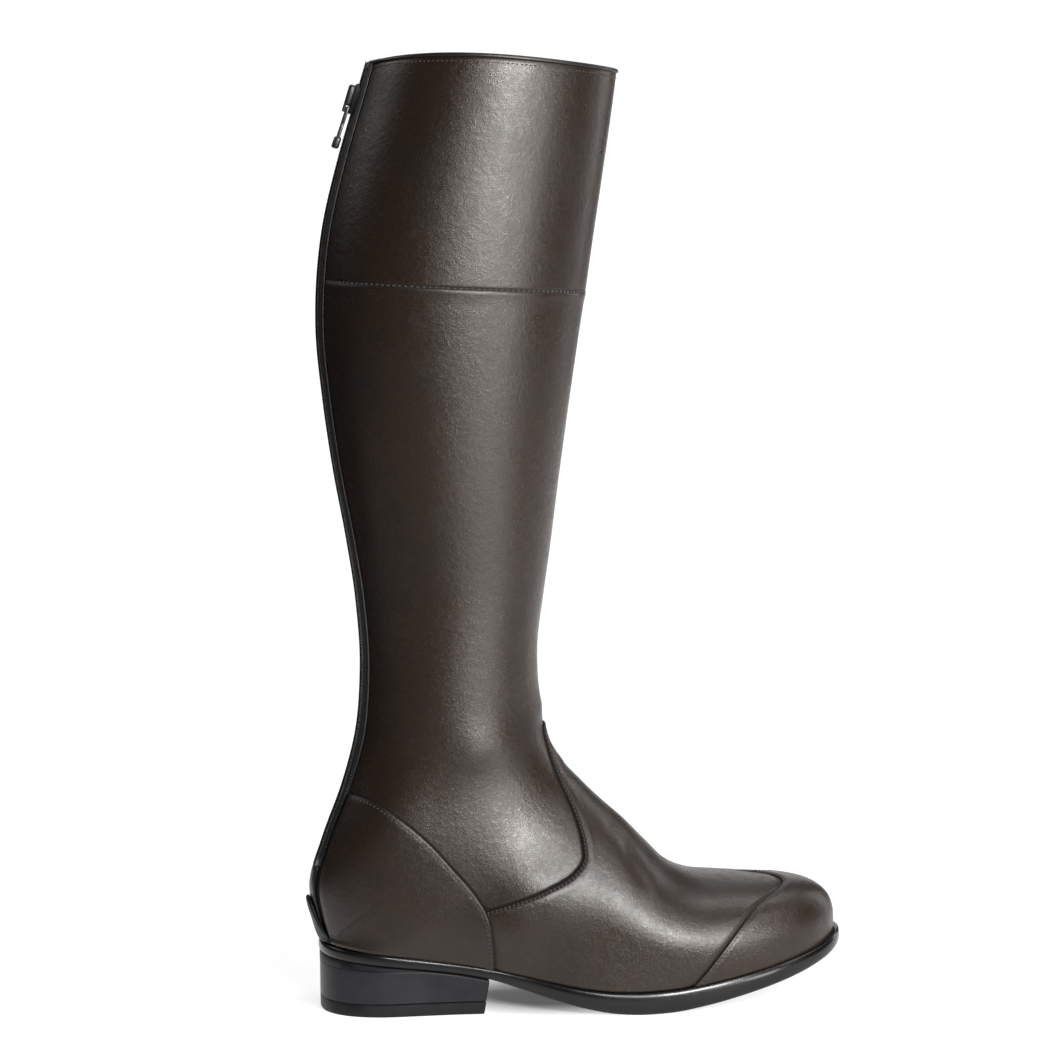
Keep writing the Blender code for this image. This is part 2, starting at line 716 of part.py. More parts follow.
def make_sole(rubber, edge_leather, board):
    """Welt, outsole and insole, all drawn from the foot's outline."""
    outer = foot_outline(welt_reach)
    softened = foot_outline(lambda x: welt_reach(x) - 0.7)
    inner = foot_outline(lambda x: -WELT_INNER)
    loops = [
        with_heights(inner, welt_top),
        with_heights(softened, welt_top),
        with_heights(outer, lambda x: welt_top(x) - 0.9),
        with_heights(outer, welt_low),
        with_heights(inner, welt_low),
    ]
    loops.append(loops[0])
    bm = loop_bmesh(loops, closed_ends=False)
    bmesh.ops.remove_doubles(bm, verts=bm.verts, dist=1e-7)
    bmesh.ops.recalc_face_normals(bm, faces=bm.faces)
    add_part("welt", bm, edge_leather)

    core = foot_outline(lambda x: -WELT_INNER - GAP)
    edge = foot_outline(lambda x: welt_reach(x) - 0.2)
    tread_edge = foot_outline(lambda x: welt_reach(x) - 0.2 - SOLE_EDGE_ROUND)
    loops = [
        with_heights(core, welt_top),
        with_heights(core, lambda x: welt_low(x) - GAP),
        with_heights(edge, lambda x: welt_low(x) - GAP),
        with_heights(edge, lambda x: tread(x) + SOLE_EDGE_ROUND * 0.9),
        with_heights(tread_edge, tread),
    ]
    add_part("outsole", loop_bmesh(loops), rubber)

    seat = foot_outline(lambda x: -INSOLE_INSET)
    loops = [
        with_heights(seat, lambda x: feather(x) + INSOLE_THICK),
        with_heights(seat, feather),
    ]
    add_part("insole", loop_bmesh(loops), board)


def heel_loop(inset, height, rake):
    """The heel's outline at one level: round the back between its two front corners."""
    front = BREAST_X - rake
    t = np.linspace(0, math.pi / 2, 15)
    lengths = HEEL_BACK_X + (front - HEEL_BACK_X) * (1 - np.cos(t))
    lateral = []
    medial = []
    for x in lengths:
        stretch = (x - HEEL_BACK_X) / (front - HEEL_BACK_X)
        back = (WELT_HEEL_REACH - 0.6 - 0.3 * inset) * (1 - stretch)
        for side, line in ((-1, lateral), (1, medial)):
            half = feather_half(x, side) + (WELT_HEEL_REACH - 0.4 - inset) * min(1, 3 * stretch)
            line.append((x - back, axis_y(x) + side * half))
    outline = lateral + medial[::-1][:-1]
    return np.array([(x, y, height(x)) for x, y in outline])


def heel_bmesh(loops):
    """A heel layer: its sides, and strips across its top and its foot."""
    bm = bmesh.new()
    rings = [[bm.verts.new(place(point)) for point in loop] for loop in loops]
    count = len(rings[0])
    for low, high in zip(rings, rings[1:]):
        for j in range(count):
            k = (j + 1) % count
            bm.faces.new((low[j], low[k], high[k], high[j]))
    for ring in (rings[0], rings[-1]):
        half = (count + 1) // 2
        for j in range(half - 1):
            corners = [ring[j], ring[j + 1], ring[count - 1 - j], ring[(count - j) % count]]
            unique = []
            for corner in corners:
                if corner not in unique:
                    unique.append(corner)
            bm.faces.new(unique)
    bmesh.ops.recalc_face_normals(bm, faces=bm.faces)
    return bm


def make_heel(stack_leather, rubber):
    split = BREAST_RAKE * TOP_PIECE / tread(BREAST_X)
    loops = [
        heel_loop(0.0, lambda x: tread(x) - 1.5 * GAP, 0.0),
        heel_loop(HEEL_TAPER * 0.7, lambda x: TOP_PIECE + GAP, BREAST_RAKE - split),
    ]
    add_part("heel_block", heel_bmesh(loops), stack_leather)
    loops = [
        heel_loop(HEEL_TAPER * 0.7, lambda x: TOP_PIECE, BREAST_RAKE - split),
        heel_loop(HEEL_TAPER, lambda x: 0.8, BREAST_RAKE),
        heel_loop(HEEL_TAPER + 0.8, lambda x: 0.0, BREAST_RAKE + 0.8),
    ]
    add_part("heel_top_piece", heel_bmesh(loops), rubber)


def station_at_back(z):
    """The station whose section meets the middle of the back at height z."""
    low = STATION["zip_foot"]
    high = STATIONS[-1]
    for _ in range(50):
        middle = (low + high) / 2
        if upper_row(middle)["end_z"] < z:
            low = middle
        else:
            high = middle
    return low


def slider_frame():
    """The slider's frame on the back of the shaft: out from the leather, across, and up along it."""
    station = station_at_back(SLIDER_Z)
    here = upper_row(station)
    above = upper_row(station_at_back(SLIDER_Z + 4))
    below = upper_row(station_at_back(SLIDER_Z - 24))
    rising = Vector((above["end_x"] - below["end_x"], 0, above["end_z"] - below["end_z"])).normalized()
    across = Vector((0, 1, 0))
    out = across.cross(rising)
    if out.x > 0:
        out = -out
    across = rising.cross(out)
    origin = place((here["end_x"], 0, here["end_z"]))
    frame = Matrix((out, across, rising)).transposed().to_4x4()
    frame.translation = origin
    return frame


def block(bm, out_low, out_high, wide, up_low, up_high, across=0.0):
    """Adds a box in the slider's frame."""
    size = Matrix.Diagonal(((out_high - out_low) * MM, wide * MM, (up_high - up_low) * MM, 1))
    middle = Vector(((out_low + out_high) / 2, across, (up_low + up_high) / 2)) * MM
    bmesh.ops.create_cube(bm, size=1.0, matrix=Matrix.Translation(middle) @ size)


def box_meshes(blocks):
    """Overlapping boxes, some with softened edges, to be joined into one solid."""
    pieces = []
    for shape, width in blocks:
        bm = bmesh.new()
        block(bm, *shape)
        if width:
            bmesh.ops.bevel(bm, geom=bm.edges[:], offset=width * MM, segments=2, profile=0.5,
                            affect="EDGES")
        pieces.append(bm)
    return pieces


def make_slider(frame, metal):
    """A plate over the chain with a bail that the pull hangs from, and the pull on its cross bar."""
    half = SLIDER_LONG / 2
    base_low = CHAIN_TOP + GAP
    plate_low = GAP + FACING_THICK + GAP
    plate_top = plate_low + SLIDER_PLATE
    bail_low = plate_top + BAIL_CLEAR
    foot = PULL_AXIS_UP - PULL_BAR - 0.5
    shapes = [
        ((plate_low, plate_top, SLIDER_WIDE, -half, half), 0.5),
        ((base_low, plate_low + 0.4, 2 * FACING_INNER - 1.0, -half + 1, half - 1), 0.0),
        ((bail_low, bail_low + BAIL_THICK, BAIL_WIDE, foot - BAIL_THICK, half - 2), 0.3),
        ((plate_top - 0.4, bail_low + 0.5, BAIL_WIDE, foot - BAIL_THICK, foot), 0.0),
        ((plate_top - 0.4, bail_low + 0.5, BAIL_WIDE, half - 4.5, half - 2), 0.0),
    ]
    joined = box_meshes(shapes)
    slider = add_part("zip_slider", joined[0], metal)
    slider.matrix_local = frame
    for k, bm in enumerate(joined[1:]):
        cutter = add_cutter("slider_piece_%d" % k, bm)
        cutter.matrix_local = frame
        cut(slider, cutter, "UNION")

    axis_out = plate_top + BAIL_CLEAR / 2
    hinge = frame @ Matrix.Translation(Vector((axis_out, 0, PULL_AXIS_UP)) * MM)
    lean = math.atan2(axis_out - (plate_low + GRIP_THICK / 2 + 0.2), PULL_LONG - GRIP_LONG / 2)
    hinge = hinge @ Matrix.Rotation(-lean, 4, "Y")
    arm = (PULL_WIDE - PULL_WINDOW) / 2
    arm_y = (PULL_WINDOW + arm) / 2
    flat = PULL_THICK / 2
    shapes = [
        ((-flat, flat, PULL_WIDE, -PULL_LONG + 1, -PULL_OPEN), 0.2),
        ((-flat, flat, arm, -PULL_OPEN - 0.8, PULL_BAR, -arm_y), 0.0),
        ((-flat, flat, arm, -PULL_OPEN - 0.8, PULL_BAR, arm_y), 0.0),
        ((-PULL_BAR, PULL_BAR, PULL_WIDE - 0.6, -PULL_BAR, PULL_BAR), 0.2),
        ((-GRIP_THICK / 2, GRIP_THICK / 2, PULL_WIDE + 0.8, -PULL_LONG, -PULL_LONG + GRIP_LONG), 0.9),
    ]
    joined = box_meshes(shapes)
    pull = add_part("zip_pull", joined[0], metal)
    pull.matrix_local = hinge
    for k, bm in enumerate(joined[1:]):
        cutter = add_cutter("pull_piece_%d" % k, bm)
        cutter.matrix_local = hinge
        cut(pull, cutter, "UNION")


def build():
    global parts_collection, cutters_collection, root
    for thing in list(bpy.data.objects):
        bpy.data.objects.remove(thing, do_unlink=True)
    parts_collection = bpy.data.collections.new("riding_boot")
    cutters_collection = bpy.data.collections.new("cutters")
    bpy.context.scene.collection.children.link(parts_collection)
    bpy.context.scene.collection.children.link(cutters_collection)
    root = bpy.data.objects.new("boot_frame", None)
    parts_collection.objects.link(root)

    leather = material("grained leather", (0.075, 0.062, 0.053), 0.42)
    trim = material("black trim", (0.018, 0.018, 0.020), 0.5)
    edge = material("polished sole edge", (0.020, 0.019, 0.021), 0.3)
    rubber = material("black rubber", (0.035, 0.034, 0.037), 0.6)
    cloth = material("zip cloth", (0.015, 0.015, 0.016), 0.9)
    metal = material("dark nickel", (0.22, 0.22, 0.23), 0.3, 1.0)
    board = material("insole board", (0.30, 0.22, 0.15), 0.8)

    make_upper(leather)
    make_overlays(leather)
    make_sole(rubber, edge, board)
    make_heel(edge, rubber)
    make_spur_rest(rubber)
    make_zip(trim, cloth, metal)
    make_binding(trim)
    make_slider(slider_frame(), metal)


build()
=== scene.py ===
"""A tall brown riding boot for the right foot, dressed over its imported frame.

Sizes are in millimetres until a mesh is made. Lengths along the foot, called x, run from the rearmost point
of the boot toward the toe; y runs to the inner side and z up from the floor.
"""

from __future__ import annotations

import json
import logging
import math
from dataclasses import dataclass, field
from enum import Enum
from typing import Callable, NamedTuple, Sequence

import bmesh
import bpy
import numpy as np
from mathutils import Matrix, Vector
from mathutils.kdtree import KDTree

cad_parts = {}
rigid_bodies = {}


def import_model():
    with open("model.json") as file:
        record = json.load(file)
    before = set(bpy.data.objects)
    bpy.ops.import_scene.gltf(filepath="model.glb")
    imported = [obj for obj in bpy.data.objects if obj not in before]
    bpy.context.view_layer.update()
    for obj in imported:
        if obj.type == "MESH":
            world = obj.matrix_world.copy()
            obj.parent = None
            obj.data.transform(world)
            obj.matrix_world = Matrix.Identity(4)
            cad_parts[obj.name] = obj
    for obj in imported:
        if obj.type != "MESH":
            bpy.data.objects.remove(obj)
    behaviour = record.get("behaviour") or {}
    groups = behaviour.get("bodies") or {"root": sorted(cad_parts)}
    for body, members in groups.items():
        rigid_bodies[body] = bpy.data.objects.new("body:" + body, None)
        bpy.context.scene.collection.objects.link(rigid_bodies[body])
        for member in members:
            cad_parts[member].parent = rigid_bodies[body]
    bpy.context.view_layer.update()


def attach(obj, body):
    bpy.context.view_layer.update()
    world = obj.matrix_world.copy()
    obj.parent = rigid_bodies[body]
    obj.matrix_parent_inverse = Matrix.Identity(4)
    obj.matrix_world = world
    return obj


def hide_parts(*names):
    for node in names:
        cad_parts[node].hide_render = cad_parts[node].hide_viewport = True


LOG = logging.getLogger("riding_boot")
MM = 0.001
CENTRE_X = 137.3
GAP = 0.3
WALL = 2.0
FAR = 1e9
BROAD, SMALL, FINE, RUDDY = 20.0, 170.0, 420.0, 75.0
BOOT_MIDDLE = (0.0, 0.0, 0.25)
Colour = tuple[float, float, float]
Line = tuple[np.ndarray, np.ndarray]


class Side(Enum):
    """The outer and the inner side of the foot, as the sign of y."""

    OUTER = -1
    INNER = 1


class Plane(Enum):
    """The view that a flat outline is drawn in, as the two axes that it keeps."""

    FROM_SIDE = (0, 2)
    FROM_BEHIND = (1, 2)


class SoleRow(NamedTuple):
    """One place along the sole: heights of the upper's foot and of the tread, and half widths."""

    x: float
    feather_z: float
    tread_z: float
    lateral: float
    medial: float


class UpperRow(NamedTuple):
    """One section of the upper, in a plane from its end, on the welt or the back, to its top or front."""

    name: str
    top_x: float
    top_z: float
    end_x: float
    end_z: float | None
    lateral: float
    medial: float
    widest: float
    crown: float
    lean: float


class Fold(NamedTuple):
    """A soft trough (height below 0) or swell, along a line seen from the side, on one side or on both."""

    line: tuple[tuple[float, float], ...]
    height: float
    width: float
    side: Side | None


SOLE_ROWS = [
    SoleRow(5, 34.7, 29.0, 30.5, 30.5),
    SoleRow(30, 32.2, 26.3, 30.5, 30.5),
    SoleRow(68, 26.6, 21.6, 30.0, 29.0),
    SoleRow(88, 23.2, 17.6, 31.0, 27.0),
    SoleRow(104, 19.9, 12.4, 34.0, 27.0),
    SoleRow(118, 16.7, 7.9, 38.5, 29.5),
    SoleRow(134, 13.5, 3.6, 42.5, 34.0),
    SoleRow(150, 11.7, 0.8, 44.8, 38.5),
    SoleRow(163, 11.3, 0.0, 45.3, 41.2),
    SoleRow(177, 11.9, 0.5, 45.5, 43.0),
    SoleRow(194, 13.8, 2.8, 45.5, 44.0),
    SoleRow(216, 17.4, 7.2, 45.5, 44.0),
    SoleRow(244, 23.1, 14.2, 45.5, 44.0),
    SoleRow(262, 28.0, 20.2, 45.5, 44.0),
    SoleRow(275, 34.0, 25.6, 45.5, 44.0),
]

UPPER_ROWS = [
    UpperRow("toe_tip", 269.5, 57.0, 269.5, None, 47.0, 45.5, 0.30, 2.5, 0.0),
    UpperRow("toe_roll", 248.0, 57.4, 248.0, None, 47.0, 45.5, 0.30, 2.4, 0.0),
    UpperRow("cap_edge", 229.0, 59.0, 229.0, None, 47.0, 45.5, 0.30, 2.3, 1.0),
    UpperRow("vamp", 212.0, 60.4, 212.0, None, 47.2, 45.6, 0.30, 2.2, 2.0),
    UpperRow("vamp_break", 196.0, 62.4, 194.0, None, 47.2, 45.0, 0.32, 2.1, 3.0),
    UpperRow("throat_foot", 183.3, 68.0, 176.0, None, 46.8, 43.5, 0.34, 2.05, 3.0),
    UpperRow("throat", 171.8, 79.0, 156.0, None, 45.5, 41.0, 0.36, 2.0, 2.5),
    UpperRow("instep_low", 161.0, 90.0, 134.0, None, 43.2, 38.5, 0.40, 2.0, 2.0),
    UpperRow("instep", 149.0, 100.6, 108.0, None, 40.2, 36.5, 0.42, 2.0, 1.5),
    UpperRow("waist", 138.2, 111.2, 78.0, None, 38.0, 36.0, 0.44, 2.0, 1.0),
    UpperRow("heel_seat", 129.3, 121.2, 46.0, None, 37.0, 36.0, 0.46, 2.0, 0.5),
    UpperRow("heel_turn", 125.2, 131.9, 20.0, None, 36.4, 36.0, 0.48, 2.0, 0.0),
    UpperRow("heel_back", 122.6, 139.0, 8.6, None, 36.2, 35.8, 0.48, 2.0, 0.0),
    UpperRow("heel_mid", 121.4, 143.2, 5.6, 47.0, 36.1, 35.8, 0.48, 2.0, 0.0),
    UpperRow("zip_foot", 120.4, 147.2, 3.0, 60.0, 36.0, 35.8, 0.48, 2.0, 0.0),
    UpperRow("counter_high", 118.8, 154.5, 9.3, 84.0, 35.8, 35.6, 0.48, 2.0, 0.0),
    UpperRow("ankle_low", 117.6, 162.5, 19.0, 110.0, 35.6, 35.6, 0.48, 2.0, 0.0),
    UpperRow("ankle", 117.0, 172.0, 26.4, 138.0, 35.6, 35.6, 0.48, 2.0, 0.0),
    UpperRow("ankle_high", 117.2, 185.0, 29.0, 170.0, 36.0, 36.0, 0.48, 2.0, 0.0),
    UpperRow("leg_low", 119.9, 206.0, 26.9, 205.0, 37.5, 37.5, 0.48, 2.0, 0.0),
    UpperRow("leg", 123.4, 231.0, 22.3, 236.0, 41.0, 41.0, 0.47, 2.0, 0.0),
    UpperRow("calf_low", 127.4, 263.0, 16.2, 269.0, 45.5, 45.5, 0.46, 2.0, 0.0),
    UpperRow("calf", 132.4, 300.0, 10.9, 306.0, 49.5, 49.5, 0.46, 2.0, 0.0),
    UpperRow("calf_high", 137.0, 332.0, 7.9, 338.0, 52.0, 52.0, 0.46, 2.0, 0.0),
    UpperRow("band", 141.0, 358.0, 8.4, 364.0, 53.0, 53.0, 0.46, 2.0, 0.0),
    UpperRow("band_mid", 144.6, 383.0, 11.3, 389.0, 53.0, 53.0, 0.46, 2.0, 0.0),
    UpperRow("top_low", 149.4, 415.0, 18.8, 421.0, 52.4, 52.4, 0.46, 2.0, 0.0),
    UpperRow("top", 153.9, 446.0, 28.0, 452.0, 51.6, 51.6, 0.46, 2.0, 0.0),
    UpperRow("collar", 156.6, 466.4, 33.2, 469.4, 51.0, 51.0, 0.46, 2.0, 0.0),
]

FOLDS = [
    Fold(((152, 92), (157.3, 84), (158.5, 78), (161, 71), (165.5, 64)), -0.9, 3.8, Side.OUTER),
    Fold(((162.5, 77), (164.8, 70.5), (169, 62)), 0.6, 4.5, Side.OUTER),
    Fold(((152, 92), (158, 80), (163, 68)), -0.8, 4.2, Side.INNER),
    Fold(((84, 133), (92, 133)), 1.8, 13.0, None),
    Fold(((52, 128), (58, 110)), -1.4, 18.0, None),
    Fold(((99, 46), (105, 60)), 2.6, 16.0, Side.OUTER),
    Fold(((108, 46), (116, 52)), 1.8, 20.0, Side.OUTER),
]

VAMP_SEAM = [(126, 145), (119.2, 141.4), (120.0, 131.8), (125.2, 114.4), (131.6, 97.8), (134.6, 83.8),
             (134.4, 76.9), (129.6, 71.0), (116.7, 64.2), (101.7, 58.6), (87.4, 54.0), (82.0, 52.2)]
COUNTER_SEAM = [(8, 111), (18.7, 110), (28.9, 108.4), (42.5, 99.8), (57.1, 87.3), (69.4, 73.5),
                (79.3, 61.7), (85.4, 51.4), (88.7, 35.9), (90.4, 20)]
CAP_SEAM = [(0.0, 188.5), (0.018, 191.4), (0.058, 197.4), (0.107, 204.4), (0.163, 212.6), (0.228, 222.6),
            (0.285, 232.6), (0.325, 238.4), (0.365, 241.4), (0.41, 242.2), (0.45, 241.0), (0.48, 238.0),
            (0.505, 232.4), (0.525, 224.0)]
SPUR_HALF = [(0, 57.5), (2.4, 56.9), (4.4, 54.0), (6.2, 49.5), (8.2, 45.0), (10.8, 40.4), (13.8, 36.0),
             (16.0, 32.5)]


class Track:
    """A cubic line through the rows of one table column."""

    def __init__(self, knots: Sequence[float], values: Sequence[float], held: bool = False) -> None:
        """Lays the line.

        Args:
            knots: Places of the rows.
            values: The column's values there.
            held: True for a line that never overshoots its rows.
        """
        self.knots = np.asarray(knots, float)
        self.values = np.asarray(values, float)
        steps = np.diff(self.knots)
        rates = np.diff(self.values) / steps
        self.slopes = np.zeros(len(self.knots))
        self.slopes[0] = rates[0]
        self.slopes[-1] = rates[-1]
        if not held:
            self.slopes[1:-1] = (rates[:-1] * steps[1:] + rates[1:] * steps[:-1]) / (steps[1:] + steps[:-1])
            return
        for i in range(1, len(self.knots) - 1):
            if rates[i - 1] * rates[i] > 0:
                before = 2 * steps[i] + steps[i - 1]
                after = steps[i] + 2 * steps[i - 1]
                self.slopes[i] = (before + after) / (before / rates[i - 1] + after / rates[i])

    def at(self, place: np.ndarray | float) -> np.ndarray:
        """Reads the line.

        Args:
            place: One place or many.

        Returns:
            The values there.
        """
        place = np.clip(place, self.knots[0], self.knots[-1])
        i = np.clip(np.searchsorted(self.knots, place, side="right") - 1, 0, len(self.knots) - 2)
        step = self.knots[i + 1] - self.knots[i]
        t = (place - self.knots[i]) / step
        start = (1 + 2 * t) * (1 - t) ** 2 * self.values[i] + t * (1 - t) ** 2 * step * self.slopes[i]
        return start + t * t * (3 - 2 * t) * self.values[i + 1] + t * t * (t - 1) * step * self.slopes[i + 1]


def run_lengths(line: np.ndarray) -> np.ndarray:
    """Gives the distance along a line at each of its points."""
    return np.concatenate([[0], np.cumsum(np.linalg.norm(np.diff(line, axis=0), axis=1))])


def read_line(line: np.ndarray, runs: np.ndarray, places: Sequence[float] | np.ndarray) -> np.ndarray:
    """Gives the points of a line at distances along it."""
    return np.stack([np.interp(places, runs, line[:, k]) for k in range(3)], axis=1)


def away_from(flat: np.ndarray, start: np.ndarray, stop: np.ndarray) -> np.ndarray:
    """Measures flat points from one straight piece of a line.

    Args:
        flat: The points.
        start: Where the piece starts.
        stop: Where it stops.

    Returns:
        The distances.
    """
    run = stop - start
    t = np.clip(((flat - start) @ run) / max(run @ run, 1e-9), 0, 1)
    return np.linalg.norm(flat - start - t[:, None] * run, axis=1)


def smooth_line(points: Sequence[tuple[float, float]], per_span: int = 8) -> np.ndarray:
    """Draws a flowing line through a few points.

    Args:
        points: The points in order.
        per_span: Steps between neighbours.

    Returns:
        The points of the line, one row each.
    """
    rows = np.array(points, float)
    knots = run_lengths(rows)
    places = [a + (b - a) * k / per_span for a, b in zip(knots, knots[1:]) for k in range(per_span)]
    places = np.array(places + [knots[-1]])
    return np.stack([Track(knots, rows[:, k]).at(places) for k in range(rows.shape[1])], axis=1)


def taper(x: np.ndarray | float, start: float, stop: float, power: float) -> np.ndarray:
    """Falls from 1 to 0 along a rounded nose.

    Args:
        x: Places to read.
        start: Where the fall starts.
        stop: Where it reaches 0.
        power: Bluntness of the nose.

    Returns:
        The shares there.
    """
    t = np.clip((x - start) / (stop - start), 0, 1)
    return (1 - t ** power) ** (1 / power)


def eased(value: np.ndarray | float, low: float, high: float) -> np.ndarray:
    """Runs smoothly from 0 at low to 1 at high."""
    t = np.clip((np.asarray(value, float) - low) / (high - low), 0, 1)
    return t * t * (3 - 2 * t)


def rolled(edge: np.ndarray, width: float, share: float) -> np.ndarray:
    """Gives the profile of a folded leather edge.

    Args:
        edge: Distances in from the edge.
        width: How far the roll reaches.
        share: Height of the edge itself.

    Returns:
        Heights from share to 1.
    """
    t = np.clip(edge / width, 0, 1)
    return share + (1 - share) * np.sqrt(1 - (1 - t) ** 2)


@dataclass
class Skin:
    """An open sheet of triangles with values at its points."""

    points: np.ndarray
    tris: np.ndarray
    fields: dict[str, np.ndarray] = field(default_factory=dict)

    @classmethod
    def from_grid(cls, grid: np.ndarray, fields: dict[str, np.ndarray]) -> Skin:
        """Makes a sheet from a grid of points; points of a row that coincide are joined.

        Args:
            grid: Points as rows of stations.
            fields: Values on the same grid.

        Returns:
            The sheet.
        """
        rows, columns = grid.shape[:2]
        index = np.arange(rows * columns).reshape(rows, columns)
        for i in range(rows):
            if np.ptp(grid[i], axis=0).max() < 0.01:
                index[i] = index[i, 0]
            elif np.linalg.norm(grid[i, 0] - grid[i, -1]) < 0.01:
                index[i, -1] = index[i, 0]
        a, b = index[:-1, :-1].ravel(), index[:-1, 1:].ravel()
        d, c = index[1:, :-1].ravel(), index[1:, 1:].ravel()
        tris = np.concatenate([np.stack([a, b, c], 1), np.stack([a, c, d], 1)])
        whole = (tris[:, 0] != tris[:, 1]) & (tris[:, 1] != tris[:, 2]) & (tris[:, 2] != tris[:, 0])
        skin = cls(grid.reshape(-1, 3).copy(), tris[whole], {k: v.ravel().astype(float) for k, v in fields.items()})
        return skin.tidied()

    def tidied(self) -> Skin:
        """Drops the points that no triangle uses.

        Returns:
            The sheet without them.
        """
        used = np.unique(self.tris)
        place = np.full(len(self.points), -1)
        place[used] = np.arange(len(used))
        return Skin(self.points[used], place[self.tris], {k: v[used] for k, v in self.fields.items()})

    def normals(self) -> np.ndarray:
        """Finds which way the sheet faces.

        Returns:
            The outward direction at each point.
        """
        corners = self.points[self.tris]
        faces = np.cross(corners[:, 1] - corners[:, 0], corners[:, 2] - corners[:, 0])
        total = np.zeros_like(self.points)
        for k in range(3):
            np.add.at(total, self.tris[:, k], faces)
        length = np.linalg.norm(total, axis=1, keepdims=True)
        return total / np.maximum(length, 1e-12)

    def crossings(self, values: np.ndarray) -> tuple[np.ndarray, np.ndarray, np.ndarray]:
        """Finds where the triangles' sides cross 0.

        Args:
            values: One value per point.

        Returns:
            The crossed triangles, and for each its two sides as point pairs and the shares along them.
        """
        value = np.where(values == 0, 1e-9, values)
        signs = value[self.tris] > 0
        mixed = np.nonzero(signs.any(1) & ~signs.all(1))[0]
        sides = np.stack([self.tris[mixed][:, [0, 1]], self.tris[mixed][:, [1, 2]], self.tris[mixed][:, [2, 0]]], 1)
        ends = value[sides]
        crossed = ends[:, :, 0] * ends[:, :, 1] < 0
        order = np.argsort(~crossed, axis=1, kind="stable")[:, :2]
        pick = np.arange(len(mixed))[:, None]
        pairs = np.sort(sides[pick, order], axis=2)
        low, high = value[pairs[:, :, 0]], value[pairs[:, :, 1]]
        return mixed, pairs, low / (low - high)

    def measure(self, rough: np.ndarray, reach: float = 18.0) -> None:
        """Stores true distances from an edge, inside above 0, and the nearest points of that edge.

        Args:
            rough: A field that is 0 on the edge and above 0 inside.
            reach: How far out true distances are wanted.
        """
        _, pairs, shares = self.crossings(rough)
        ends = self.points[pairs[:, :, 0]] * (1 - shares[:, :, None]) + self.points[pairs[:, :, 1]] * shares[:, :, None]
        samples = np.concatenate([ends[:, 0] * (1 - t) + ends[:, 1] * t for t in np.linspace(0, 1, 6)])
        tree = KDTree(len(samples))
        for i, point in enumerate(samples):
            tree.insert(point, i)
        tree.balance()
        edge = rough.astype(float).copy()
        foot = self.points.copy()
        for i in np.nonzero(np.abs(rough) < reach)[0]:
            nearest, _, distance = tree.find(self.points[i])
            edge[i] = math.copysign(distance, rough[i])
            foot[i] = nearest
        self.fields["edge"] = edge
        for k, name in enumerate("xyz"):
            self.fields["foot_" + name] = foot[:, k]

    def snap(self, levels: Sequence[float], most: float) -> None:
        """Moves points that lie close to a level of the edge field onto it.

        Args:
            levels: The levels.
            most: The furthest move.
        """
        edge = self.fields["edge"]
        levels_array = np.array(levels)
        nearest = np.abs(edge[:, None] - levels_array[None]).argmin(1)
        room = np.array([min([most] + [0.35 * abs(a - b) for b in levels if b != a]) for a in levels])
        off = levels_array[nearest] - edge
        close = np.abs(off) < room[nearest]
        foot = np.stack([self.fields["foot_" + name] for name in "xyz"], 1)
        away = self.points - foot
        length = np.linalg.norm(away, axis=1)
        on_edge = close & (levels_array[nearest] == 0)
        self.points[on_edge] = foot[on_edge]
        free = close & ~on_edge & (length > 0.02)
        self.points[free] += (away[free] / length[free, None]) * (off[free] * np.sign(edge[free]))[:, None]
        edge[close] = levels_array[nearest][close]

    def split(self, name: str, level: float) -> None:
        """Cuts the triangles along one level of a field.

        Args:
            name: The field.
            level: The level.
        """
        value = self.fields[name] - level
        value[np.abs(value) < 1e-7] = 0.0
        signs = np.sign(value)[self.tris]
        mixed = (signs.max(1) > 0) & (signs.min(1) < 0)
        made: dict[tuple[int, int], int] = {}
        lows, highs, shares = [], [], []
        count = len(self.points)

        def middle(i: int, j: int) -> int:
            """Makes the point where a side meets the level, once.

            Args:
                i: The side's first point.
                j: Its last point.

            Returns:
                The new point's number.
            """
            key = (min(i, j), max(i, j))
            if key not in made:
                made[key] = count + len(made)
                lows.append(key[0])
                highs.append(key[1])
                shares.append(value[key[0]] / (value[key[0]] - value[key[1]]))
            return made[key]

        fresh = []
        for tri in self.tris[mixed].tolist():
            on = [k for k in range(3) if value[tri[k]] == 0]
            if on:
                a, b, c = tri[on[0]], tri[(on[0] + 1) % 3], tri[(on[0] + 2) % 3]
                m = middle(b, c)
                fresh += [(a, b, m), (a, m, c)]
                continue
            above = [value[v] > 0 for v in tri]
            alone = [k for k in range(3) if above.count(above[k]) == 1][0]
            a, b, c = tri[alone], tri[(alone + 1) % 3], tri[(alone + 2) % 3]
            m, n = middle(a, b), middle(a, c)
            fresh += [(a, m, n), (m, b, c), (m, c, n)]
        if not fresh:
            return
        low, high, share = np.array(lows), np.array(highs), np.array(shares)
        added = self.points[low] * (1 - share[:, None]) + self.points[high] * share[:, None]
        self.points = np.concatenate([self.points, added])
        for key, column in self.fields.items():
            self.fields[key] = np.concatenate([column, column[low] * (1 - share) + column[high] * share])
        self.fields[name][count:] = level
        self.tris = np.concatenate([self.tris[~mixed], np.array(fresh)])

    def kept(self, name: str, level: float) -> Skin:
        """Keeps the side of the sheet where a field is above a level that it was split at.

        Args:
            name: The field.
            level: The level.

        Returns:
            The sheet's kept side.
        """
        values = self.fields[name][self.tris]
        inside = (values >= level - 1e-6).all(1) & (values > level + 1e-6).any(1)
        return Skin(self.points, self.tris[inside], self.fields).tidied()

